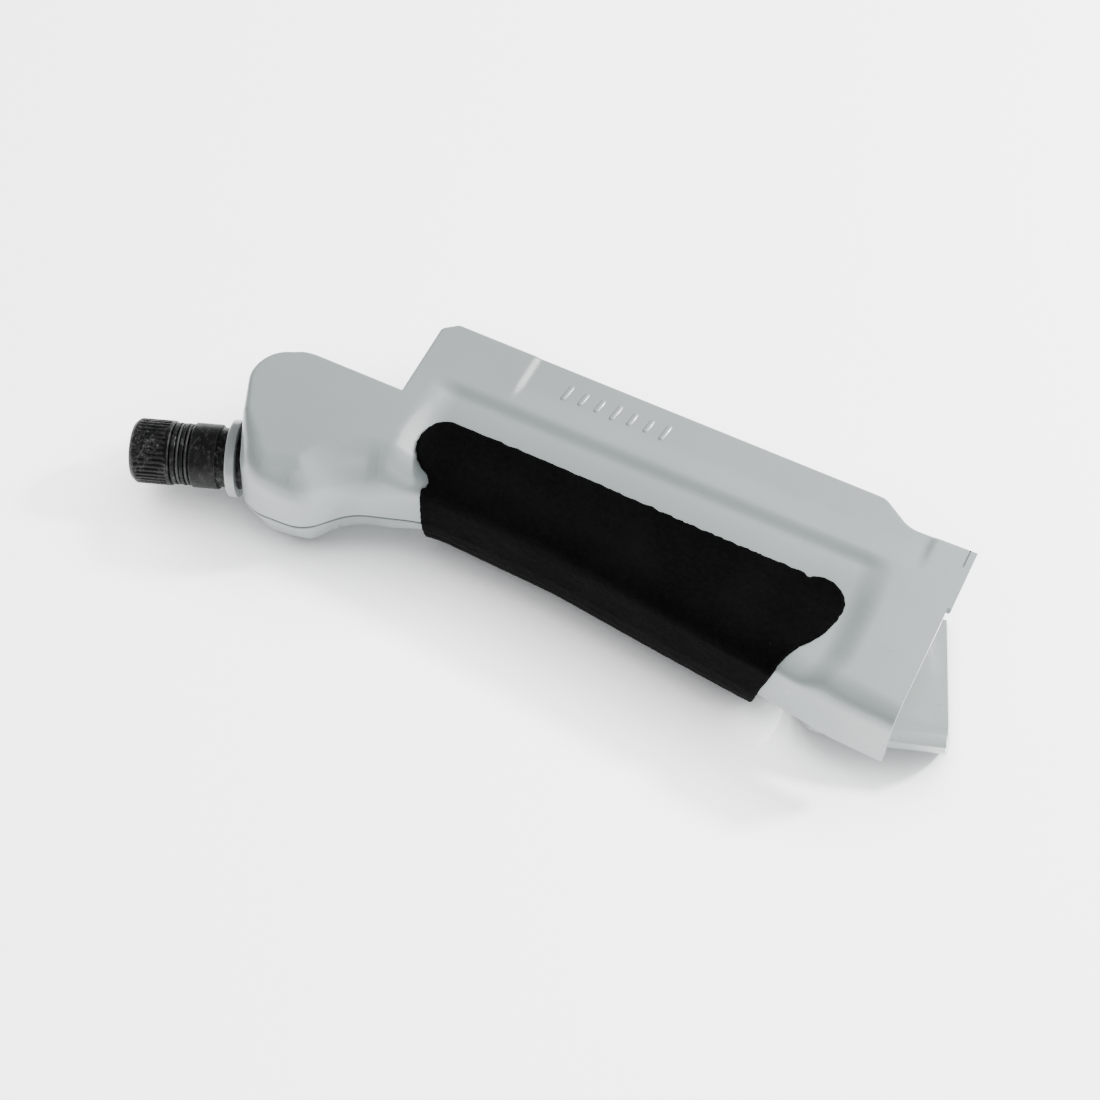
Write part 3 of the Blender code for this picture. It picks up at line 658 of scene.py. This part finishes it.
SHELL = shell_plastic("grey_shell_plastic")
SHELL_LIGHT = shell_plastic("light_grey_plastic", (0.30, 0.32, 0.32))
SUEDE = pad_suede("black_suede_foam")
ANODISED = worn_metal("worn_black_anodising", (0.0012, 0.0012, 0.0012), (0.13, 0.13, 0.13), 0.42, 0.0,
                      amount=0.75, gloss=0.12)
DULL_BLACK = worn_metal("inner_black_anodising", (0.02, 0.02, 0.02), (0.06, 0.06, 0.06), 0.5, 0.4, amount=0.4)
STEEL = worn_metal("turned_steel", (0.52, 0.52, 0.53), (0.75, 0.75, 0.76), 0.3, 1.0)
BRASS = worn_metal("turned_brass", (0.62, 0.44, 0.18), (0.8, 0.65, 0.35), 0.3, 1.0)
RUBBER = soft_rubber("black_rubber")
GLASS = clear_glass("coated_glass")
SLOT_MATERIALS = {
    "shell_plastic": SHELL, "pad_foam": SUEDE, "black_anodised": DULL_BLACK, "black_rubber": RUBBER,
    "optical_glass": GLASS, "light_plastic": SHELL_LIGHT, "brass": BRASS, "steel": STEEL,
}


def paint_cad_nodes():
    """Gives every CAD part the material of its slot."""
    for part in frame["record"]["subparts"]:
        node = frame["nodes"][part["node"]]
        node.data.materials.clear()
        node.data.materials.append(SLOT_MATERIALS[part["material_slot"]])


# ---------------------------------------------------------------- shells

def clean(item):
    """Welds doubled points, drops slivers and turns every face outwards."""
    bm = bmesh.new()
    bm.from_mesh(item.data)
    bmesh.ops.remove_doubles(bm, verts=bm.verts, dist=0.000002)
    bmesh.ops.dissolve_degenerate(bm, edges=bm.edges, dist=0.000001)
    bmesh.ops.recalc_face_normals(bm, faces=bm.faces)
    bm.to_mesh(item.data)
    bm.free()


def cutter_prism(name, outline, low, high, place=(0.0, 0.0)):
    """Upright block over a plan outline given about a place."""
    plan = [(place[0] + x, place[1] + y) for x, y in outline]
    count = len(plan)
    vertices = [(x, y, z) for z in (low, high) for x, y in plan]
    faces = [tuple(reversed(range(count))), tuple(range(count, 2 * count))]
    faces += [(i, (i + 1) % count, count + (i + 1) % count, count + i) for i in range(count)]
    return make_mesh(name, world(vertices), faces, smooth=False)


def disc(radius, steps=48):
    return [(radius * cos(2 * pi * k / steps), radius * sin(2 * pi * k / steps)) for k in range(steps)]


def cut(item, cutter, operation="DIFFERENCE"):
    """Applies one Boolean and deletes the cutter."""
    step = item.modifiers.new("cut", "BOOLEAN")
    step.operation = operation
    step.object = cutter
    step.solver = "EXACT"
    bpy.context.view_layer.update()
    graph = bpy.context.evaluated_depsgraph_get()
    mesh = bpy.data.meshes.new_from_object(item.evaluated_get(graph))
    item.modifiers.clear()
    item.data = mesh
    bpy.data.objects.remove(cutter, do_unlink=True)


def optic_point(radius, turn, distance):
    """World place at a distance out along the optical axis, at a radius and turn about it."""
    side = Vector((-NOSE_AXIS.y, NOSE_AXIS.x, 0.0))
    up = Vector((0.0, 0.0, 1.0))
    place = NOSE_FACE + NOSE_AXIS * distance + (side * cos(turn) + up * sin(turn)) * radius
    return place * MM + ORIGIN


def revolve(name, profile, steps=96, shape=None, closed=True, smooth_angle=40.0):
    """Turned piece about the optical axis: a closed profile of (radius, distance), or one that starts
    and ends on the axis. shape(radius, distance, turn) may move the radius."""
    vertices = []
    for radius, distance in profile:
        for k in range(steps):
            turn = 2 * pi * k / steps
            vertices.append(optic_point(shape(radius, distance, turn) if shape else radius, turn, distance))
    rows = len(profile)
    faces = []
    for i in range(rows if closed else rows - 1):
        for k in range(steps):
            a, b = i * steps + k, i * steps + (k + 1) % steps
            c, d = ((i + 1) % rows) * steps + (k + 1) % steps, ((i + 1) % rows) * steps + k
            faces.append((a, b, c, d))
    item = make_mesh(name, vertices, faces)
    clean(item)
    item.data.shade_smooth()
    sharpen(item, smooth_angle)
    return item


def nose_bore(name):
    """Cutter for the hole that the lens barrel leaves the head by."""
    return revolve(name, [(0.0, -14.0), (7.0, -14.0), (7.0, 8.0), (0.0, 8.0)], 64, closed=False)


def bay_outline():
    """Plan of the opening in the lower shell for the swinging tail guide, about its pivot."""
    reach = MOUTH_X - PIVOT.x
    far = TAIL_FAR + BAY_CLEARANCE
    corner = math.hypot(reach, TAIL_FAR) + BAY_CLEARANCE
    points = [(60.0, -60.0), (60.0, far), (corner, far)]
    first = math.atan2(far, reach)
    for step in range(13):
        angle = first + radians(TAIL_SWING + 2.0) * step / 12
        points.append((corner * cos(angle), corner * sin(angle)))
    a = radians(TAIL_SWING)
    points.append((-2.0 * cos(a) - far * sin(a) + 4.0, far))
    points.append((TAIL_LEFT + 1.0, far))
    reach = math.hypot(TAIL_LEFT, TAIL_FAR) + BAY_CLEARANCE
    for angle in range(165, 211, 5):
        points.append((reach * cos(radians(angle)), reach * sin(radians(angle))))
    points += [(TAIL_NEAR_X - BAY_CLEARANCE, -22.0), (TAIL_NEAR_X - 6.0, -27.0), (TAIL_NEAR_X - 6.0, -60.0)]
    return points


def lean_mouth(shell, near):
    """Leans the open end back towards the floor, over the part of it on the far side of near."""
    start = 84.0
    slope = 0.3
    for vertex in shell.data.vertices:
        place = (vertex.co - ORIGIN) / MM
        share = float(smoothstep((place.x - start) / (MOUTH_X - start)) * smoothstep((place.y - near) / 3.0))
        vertex.co.x -= MM * share * slope * max(0.0, THICKNESS - 1.0 - place.z)


def build_upper():
    """Upper shell with the nose's bore, the latch slot in the rail and the step in its open end."""
    shell = half_skin("upper_shell_skin", True)
    cut(shell, nose_bore("upper_bore"))
    slot = [(99.95, -9.7), (100.3, -9.7), (100.3, -5.0), (99.95, -5.0)]
    cut(shell, cutter_prism("latch_slot", slot, THICKNESS - 0.5, THICKNESS + 1.0))
    step = [(MOUTH_X - 0.8, -60.0), (MOUTH_X + 5.0, -60.0), (MOUTH_X + 5.0, -20.2), (MOUTH_X - 0.8, -20.2)]
    cut(shell, cutter_prism("mouth_step", step, SEAM - 1.0, THICKNESS + 1.0))
    shell.data.shade_smooth()
    sharpen(shell, 32)
    lean_mouth(shell, -23.5)
    ride(shell, "handpiece", SHELL, ["upper_shell"])


def build_lower():
    """Lower shell with the nose's bore, the bay for the tail guide and the screws' counterbores."""
    shell = half_skin("lower_shell_skin", False)
    cut(shell, nose_bore("lower_bore"))
    cut(shell, cutter_prism("bay", bay_outline(), -1.0, SEAM + 1.0, PIVOT[:2]))
    for number, place in enumerate(SCREW_PLACES, start=1):
        depth = SLIM_COUNTERBORE if number == NEAR_EDGE_SCREW else COUNTERBORE
        cut(shell, cutter_prism(f"counterbore_{number}", disc(2.7), -1.0, depth, place))
    shell.data.shade_smooth()
    sharpen(shell, 32)
    lean_mouth(shell, -60.0)
    ride(shell, "handpiece", SHELL, ["lower_shell"])


def upright_turned(name, place, profile, closed):
    """Turned piece about an upright axis, from its (radius, height) profile."""
    ring = disc(1.0)
    steps = len(ring)
    vertices = [(place[0] + r * x, place[1] + r * y, z) for r, z in profile for x, y in ring]
    rows = len(profile)
    faces = []
    for i in range(rows if closed else rows - 1):
        low, high = i * steps, (i + 1) % rows * steps
        faces += [(low + k, low + (k + 1) % steps, high + (k + 1) % steps, high + k) for k in range(steps)]
    item = make_mesh(name, world(vertices), faces)
    clean(item)
    return item


def upright_tube(name, place, outer, inner, low, high):
    """Moulded boss: a tube with a small chamfer at its free end."""
    profile = [(inner, low), (inner, high), (outer, high), (outer, low + 0.3), (outer - 0.3, low)]
    item = upright_turned(name, place, profile, closed=True)
    item.data.shade_smooth()
    sharpen(item, 40)
    return item


def build_bosses():
    """The posts inside both halves, each a separate piece standing on the moulded wall. The one at the
    near edge of the head is slimmer and shorter, to stay under the rounded edge."""
    def post(name, place, outer, inner, low, high):
        ride(upright_tube(name, place, outer, inner, low, high), "handpiece", SHELL)

    above, below = SEAM + POST_GAP, SEAM - POST_GAP
    for number, place in enumerate(SCREW_PLACES, start=1):
        if number == NEAR_EDGE_SCREW:
            post(f"upper_post_{number}", place, 3.1, 2.3, above, 19.5)
            post(f"lower_post_{number}", place, 2.95, 2.75, SLIM_COUNTERBORE, below)
        else:
            post(f"upper_post_{number}", place, POST_RADIUS, 2.3, above, POST_TOP)
            post(f"lower_post_{number}", place, POST_RADIUS, 2.9, POST_FOOT, below)
    for number, place in enumerate(PIN_PLACES, start=1):
        post(f"upper_pin_post_{number}", place, POST_RADIUS, 1.5, above, POST_TOP)
        post(f"lower_pin_post_{number}", place, POST_RADIUS, 1.5, POST_FOOT, below)
    post("pivot_boss", PIVOT[:2], 3.9, 1.6, 5.0, 23.8)


def cap_screw(name, place, head, shank, underside, low, tip):
    """Cap screw pointing up, with a chamfered head, a hexagon socket and a pointed tip."""
    profile = [(0.0, low), (head - 0.3, low), (head, low + 0.3), (head, underside), (shank, underside),
               (shank, tip - 0.5), (shank * 0.6, tip), (0.0, tip)]
    item = upright_turned(name, place, profile, closed=False)
    floor = low + (underside - low) * 0.7
    cut(item, cutter_prism(name + "_socket", disc(head * 0.52, 6), low - 1.0, floor, place))
    item.data.shade_smooth()
    sharpen(item, 30)
    return item


def build_screws():
    """Shell screws, sunk deeper at the head's near edge, and the tail guide's pivot screw."""
    for number, place in enumerate(SCREW_PLACES, start=1):
        slim = number == NEAR_EDGE_SCREW
        low, underside = (3.3, 5.0) if slim else (0.7, 2.6)
        screw = cap_screw(f"cap_screw_{number}", place, 2.4, 1.1, underside, low, 18.9)
        ride(screw, "handpiece", STEEL, [f"shell_screw_{number}"])
    pivot = cap_screw("pivot_cap_screw", PIVOT[:2], 2.8, 1.3, 2.1, 0.5, 12.9)
    ride(pivot, "handpiece", STEEL, ["tail_pivot_screw"])


def build_tail():
    """Tail guide: a piece of the lower half with a hub, swung out about its pivot."""
    tail = half_skin("tail_guide_skin", False, sunk=False)
    outline = [
        (60.0, TAIL_FAR), (TAIL_LEFT, TAIL_FAR), (TAIL_NEAR_X - 1.3, -23.5), (TAIL_NEAR_X + 0.1, -26.0),
        (TAIL_NEAR_X + 2.6, -28.4), (TAIL_NEAR_X + 7.5, -30.2), (TAIL_NEAR_X + 9.0, -60.0), (60.0, -60.0),
    ]
    cut(tail, cutter_prism("tail_plan", outline, -1.0, SEAM + 1.0, PIVOT[:2]), "INTERSECT")
    cut(tail, cutter_prism("hub", disc(4.0), 0.0, 4.0, PIVOT[:2]), "UNION")
    cut(tail, cutter_prism("hub_hole", disc(1.8), -1.0, 6.0, PIVOT[:2]))
    cut(tail, cutter_prism("hub_counterbore", disc(3.1), -1.0, 2.4, PIVOT[:2]))
    # the outer end leans out towards the floor
    for vertex in tail.data.vertices:
        place = (vertex.co - ORIGIN) / MM
        share = float(smoothstep((place.x - PIVOT.x - 8.0) / 11.0))
        vertex.co.x += MM * share * (1.9 * max(0.0, 1.0 - place.z / 9.0) - 0.6 * place.z / SEAM)
    pivot = PIVOT * MM + ORIGIN
    swing = Matrix.Rotation(radians(TAIL_SWING), 4, "Z")
    tail.data.transform(Matrix.Translation(pivot) @ swing @ Matrix.Translation(-pivot))
    tail.data.shade_smooth()
    sharpen(tail, 32)
    ride(tail, "tail", SHELL, ["tail_guide"])


# ---------------------------------------------------------------- grip pad

# Edge of the pad against its place along the wrap (mm from its far edge): distance, left x, right x
PAD_ENDS = [
    (0.0, -8.5, 77.5), (0.3, -11.0, 78.8), (0.9, -12.5, 80.2), (2.0, -13.7, 81.2), (3.6, -14.6, 82.0),
    (5.5, -15.0, 82.3), (7.5, -15.0, 82.0), (9.5, -14.4, 81.6), (11.5, -13.0, 81.0), (12.9, -11.3, 80.4),
    (13.6, -9.6, 80.0), (15.0, -8.5, 79.0), (16.2, -8.6, 78.2), (16.8, -9.6, 77.7), (21.0, -9.2, 75.6),
    (27.0, -9.0, 74.2), (31.0, -9.1, 73.0), (35.0, -9.2, 72.2), (43.0, -9.4, 70.8), (52.0, -10.0, 69.0),
    (62.0, -10.5, 66.5),
]
PAD_FAR_Y = -24.0
PAD_UNDER_Y = -30.0
PAD_SPARE = 3.0
PAD_GAP = 0.3
PAD_RIM = 0.1
PAD_SKIN = 1.0
PAD_ROUNDING = 0.8
PAD_ROWS = 190
PAD_COLUMNS = 300
PAD_SMOOTHING = 3


def wrap_section(row, upper, lower):
    """Line round the grip at one station, from the far edge of the pad to its edge underneath: points,
    outward directions in y and z, and the distances along it."""
    top = [p for p in upper[row] if p[1] < PAD_FAR_Y + PAD_SPARE and p[2] > SEAM + 1.2]
    under = [p for p in lower[row][::-1] if p[1] < PAD_UNDER_Y + PAD_SPARE and p[2] < SEAM - 1.2]
    line = np.array(top + under)
    length = np.concatenate([[0.0], np.cumsum(np.linalg.norm(np.diff(line[:, 1:], axis=0), axis=1))])
    start = np.interp(-PAD_FAR_Y, -line[: len(top), 1], length[: len(top)])
    stops = np.linspace(start, length[-1] - PAD_SPARE, PAD_ROWS)
    fine = np.stack([np.interp(stops, length, line[:, k]) for k in range(3)], axis=1)
    rough = np.pad(np.gradient(fine[:, 1:], axis=0), ((PAD_SMOOTHING, PAD_SMOOTHING), (0, 0)), mode="edge")
    kernel = np.ones(2 * PAD_SMOOTHING + 1) / (2 * PAD_SMOOTHING + 1)
    along = np.stack([np.convolve(rough[:, k], kernel, "valid") for k in (0, 1)], axis=1)
    along /= np.linalg.norm(along, axis=1)[:, None]
    normals = np.stack([along[:, 1], -along[:, 0]], axis=1)
    return fine, normals, stops - start


def ragged(x, seed, scale, amount):
    """Torn edge: broad waves with small bites."""
    values = []
    for value in x:
        broad = noise.noise(Vector((value * scale, seed, 0.0)))
        bites = abs(noise.noise(Vector((value * scale * 3.1, seed + 7.0, 0.0))))
        fray = noise.noise(Vector((value * scale * 8.0, seed, 3.0)))
        values.append(amount * (broad - 0.9 * bites + 0.35 * fray))
    return np.array(values)


def far_edge_bites(places):
    """How far the pad's far edge runs in or out along the grip: torn, with one notch and one bulge."""
    edge = ragged(places, 1.0, 0.5, 0.42)
    edge -= 1.3 * np.exp(-(((places - 72.9) / 0.55) ** 2)) + 0.7 * smoothstep((places - 10.0) / 50.0)
    edge += 0.8 * np.exp(-(((places - 76.6) / 2.2) ** 2))
    return edge


def pad_surface():
    """Points of the grip under the pad as rows along the wrap, their outward directions, and how far
    along the wrap each row lies."""
    upper = half_grid(True)
    lower = half_grid(False)
    rows = [i for i in range(len(FAR_LINE)) if -19.0 < NEAR_LINE[i, 0] < 88.0]
    sections = [wrap_section(i, upper, lower) for i in rows]
    lines, normals, lengths = (np.stack(kind) for kind in zip(*sections))
    ends = np.array(PAD_ENDS)
    reach = lengths.mean(axis=0)
    across = np.linspace(0.0, 1.0, PAD_COLUMNS)
    bumps = np.linspace(-15.0, 82.0, PAD_COLUMNS)
    far_edge = far_edge_bites(bumps)
    left = np.interp(reach, ends[:, 0], ends[:, 1]) + ragged(reach, 4.0, 0.8, 0.22)
    right = np.interp(reach, ends[:, 0], ends[:, 2]) + ragged(reach, 9.0, 0.7, 0.16)
    spots = np.zeros((PAD_ROWS, PAD_COLUMNS, 3))
    directions = np.zeros((PAD_ROWS, PAD_COLUMNS, 3))
    for j in range(PAD_ROWS):
        x = left[j] + (right[j] - left[j]) * across
        place = reach[j] - np.interp(x, bumps, far_edge) * np.exp(-reach[j] / 2.2)
        index = np.interp(x, lines[:, j, 0], np.arange(len(rows)))
        low = np.clip(index.astype(int), 0, len(rows) - 2)
        share = index - low
        spots[j, :, 0] = x
        for c in range(PAD_COLUMNS):
            i, t = low[c], share[c]
            for k in (1, 2):
                value_a = np.interp(place[c], lengths[i], lines[i, :, k])
                value_b = np.interp(place[c], lengths[i + 1], lines[i + 1, :, k])
                spots[j, c, k] = value_a * (1 - t) + value_b * t
            spots[j, c, 1] -= min(place[c], 0.0)
            directions[j, c, 1:] = normals[i, j] * (1 - t) + normals[i + 1, j] * t
    return spots, directions, reach


def build_pad():
    """Foam skin wrapped round the grip, thinning to its rim, with a slightly uneven napped face."""
    spots, directions, reach = pad_surface()
    across = np.linspace(0.0, 1.0, PAD_COLUMNS)
    width = spots[:, -1:, 0] - spots[:, :1, 0]
    side_gap = np.minimum(across[None, :] * width, (1 - across[None, :]) * width)
    end_gap = np.minimum(reach, reach[-1] - reach)[:, None]
    edge = np.minimum(side_gap, end_gap)
    rise = np.sqrt(1.0 - (1.0 - np.clip(edge / PAD_ROUNDING, 0.0, 1.0)) ** 2)
    nap = np.zeros(rise.shape)
    for j, c in np.ndindex(nap.shape):
        p = Vector(spots[j, c])
        nap[j, c] = 0.05 * noise.noise(p * 0.55) + 0.028 * noise.noise(p * 2.6)
    thick = PAD_GAP + PAD_RIM + (PAD_SKIN - PAD_RIM) * rise + nap * rise
    outer = spots + directions * thick[..., None]
    inner = spots + directions * PAD_GAP
    pad = skin_object("grip_pad_skin", outer, inner)
    clean(pad)
    pad.data.shade_smooth()
    ride(pad, "handpiece", SUEDE, ["grip_pad"])


def build_grip_dashes():
    """Row of low raised dashes moulded on the rail."""
    vertices, faces = [], []
    rings = [(0.55, -0.2), (0.55, 0.08), (0.38, 0.2), (0.1, 0.23)]
    row_y = -6.2
    steps = 10
    count = 2 * steps
    for k in range(7):
        x = 8.0 + 3.9 * k
        tall = 1.35 if k % 3 else 1.7
        face = THICKNESS - float(top_sink(x, row_y))
        base = len(vertices)
        for radius, lift in rings:
            for step in range(count):
                turn = pi * step / steps + pi / 2 / steps
                y = radius * sin(turn) + math.copysign(tall, sin(turn))
                vertices.append((x + radius * cos(turn) + 0.12 * y, row_y + y, face + lift))
        faces.append(tuple(reversed(range(base, base + count))))
        for level in range(len(rings) - 1):
            low = base + level * count
            faces += [(low + i, low + (i + 1) % count, low + count + (i + 1) % count, low + count + i)
                      for i in range(count)]
        top = base + (len(rings) - 1) * count
        faces.append(tuple(range(top, top + count)))
    dashes = make_mesh("raised_dashes", world(vertices), faces)
    sharpen(dashes, 50)
    ride(dashes, "handpiece", SHELL)


# ---------------------------------------------------------------- nose

RIBS = 40
RIB_STEPS = 8


def knurl(radius, distance, turn):
    """Straight ribs on the outside of the focusing collar, worn down here and there."""
    if radius < 6.9:
        return radius
    reach = smoothstep((distance - 15.9) / 0.5) * smoothstep((23.0 - distance) / 0.6)
    phase = (turn * RIBS / (2 * pi)) % 1.0
    valley = smoothstep((0.32 - abs(phase - 0.5)) / 0.2)
    spot = Vector((cos(turn) * 3.0, sin(turn) * 3.0, distance * 0.55))
    worn = 0.65 + 0.5 * noise.noise(spot) + 0.25 * noise.noise(spot * 3.0)
    return radius - 0.36 * float(reach) * float(valley) * max(0.25, min(1.0, worn))


def rounded_profile(corners, steps=4):
    """Profile with its corners (radius, distance, rounding) rounded off."""
    points = []
    count = len(corners)
    for i, (radius, distance, rounding) in enumerate(corners):
        here = Vector((radius, distance))
        if rounding == 0.0:
            points.append((radius, distance))
            continue
        before = Vector(corners[i - 1][:2])
        after = Vector(corners[(i + 1) % count][:2])
        start = here + (before - here).normalized() * rounding
        end = here + (after - here).normalized() * rounding
        for k in range(steps + 1):
            t = k / steps
            place = start * (1 - t) ** 2 + here * 2 * t * (1 - t) + end * t * t
            points.append((place.x, place.y))
    return points


def build_nose():
    """Flange, barrel with its two grooves, and knurled collar, as profiles of (radius, distance)."""
    flange = rounded_profile([(6.75, 0.4, 0.0), (8.6, 0.4, 0.2), (8.6, 2.6, 0.6), (6.75, 2.6, 0.2)])
    ride(revolve("nose_flange_skin", flange, 128), "handpiece", SHELL_LIGHT, ["nose_flange"])
    barrel = rounded_profile([
        (5.2, 15.0, 0.0), (5.2, -16.0, 0.0), (6.6, -16.0, 0.1), (6.6, 4.9, 0.0), (7.2, 4.9, 0.35),
        (7.2, 10.8, 0.3), (5.9, 11.0, 0.1), (5.9, 12.2, 0.1), (6.9, 12.2, 0.12), (6.9, 12.9, 0.12),
        (5.9, 12.9, 0.1), (5.9, 14.1, 0.1), (6.9, 14.1, 0.12), (6.9, 15.0, 0.15),
    ])
    ride(revolve("lens_barrel_skin", barrel, 144), "handpiece", ANODISED, ["lens_barrel"])
    distances = [COLLAR_START + 0.12 * k for k in range(1, 65)]
    outside = [(7.2 - 0.25 * max(0.0, 1 - (s - COLLAR_START) / 0.35) ** 2, s) for s in distances]
    front = [(7.1, 23.3), (6.85, 23.6), (6.6, 23.9), (6.3, 24.2)]
    bore = [(5.75, 24.2), (5.6, 24.05), (5.6, 20.6), (4.3, 20.6), (4.3, 8.0), (4.9, 8.0),
            (4.9, COLLAR_START), (6.8, COLLAR_START)]
    profile = outside + front + bore
    collar = revolve("focus_collar_skin", profile, RIBS * RIB_STEPS, knurl, smooth_angle=55.0)
    ride(collar, "focus_ring", ANODISED, ["focus_collar"])


# ---------------------------------------------------------------- studio

def area_light(name, place, size, power):
    """Round soft light aimed at the middle of the frame."""
    data = bpy.data.lights.new(name, "AREA")
    data.energy = power
    data.shape = "DISK"
    data.size = size
    lamp = bpy.data.objects.new(name, data)
    bpy.context.scene.collection.objects.link(lamp)
    lamp.location = place
    lamp.rotation_euler = (-Vector(place)).to_track_quat("-Z", "Y").to_euler()


def build_studio():
    """Pale paper floor, a small key light, two softboxes and an even sky."""
    bpy.ops.mesh.primitive_plane_add(size=1.0)
    floor = bpy.context.object
    floor.name = "floor"
    floor.scale = (6.0, 6.0, 1.0)
    floor.location = (0.0, 0.0, cad_box[0][2] - 0.0001)
    floor.data.materials.append(paper_floor("pale_paper"))
    area_light("key", (0.44, 0.35, 0.46), size=0.1, power=12.0)
    area_light("top_softbox", (0.35, 0.70, 1.00), size=0.6, power=9.0)
    area_light("front_fill", (0.15, -0.75, 0.75), size=0.5, power=1.2)
    sky = bpy.data.worlds.new("studio")
    bpy.context.scene.world = sky
    sky.use_nodes = True
    background = sky.node_tree.nodes["Background"]
    background.inputs["Color"].default_value = (0.95, 0.97, 1.0, 1.0)
    background.inputs["Strength"].default_value = 0.62


def build_camera():
    """Camera at the photograph's viewing angle, aimed at the middle of the grip."""
    azimuth, elevation, distance = radians(27.17), radians(57.0), 0.4255
    target = Vector((19.47, -36.9, 15.0)) * MM + ORIGIN
    away = Vector((sin(azimuth) * cos(elevation), -cos(azimuth) * cos(elevation), sin(elevation)))
    data = bpy.data.cameras.new("camera")
    data.lens = 65.45
    data.sensor_width = 36.0
    camera = bpy.data.objects.new("camera", data)
    bpy.context.scene.collection.objects.link(camera)
    camera.location = target + away * distance
    camera.rotation_euler = away.to_track_quat("Z", "Y").to_euler()
    bpy.context.scene.camera = camera


build_camera()
build_studio()
paint_cad_nodes()
build_upper()
build_lower()
build_bosses()
build_screws()
build_tail()
build_pad()
build_grip_dashes()
build_nose()
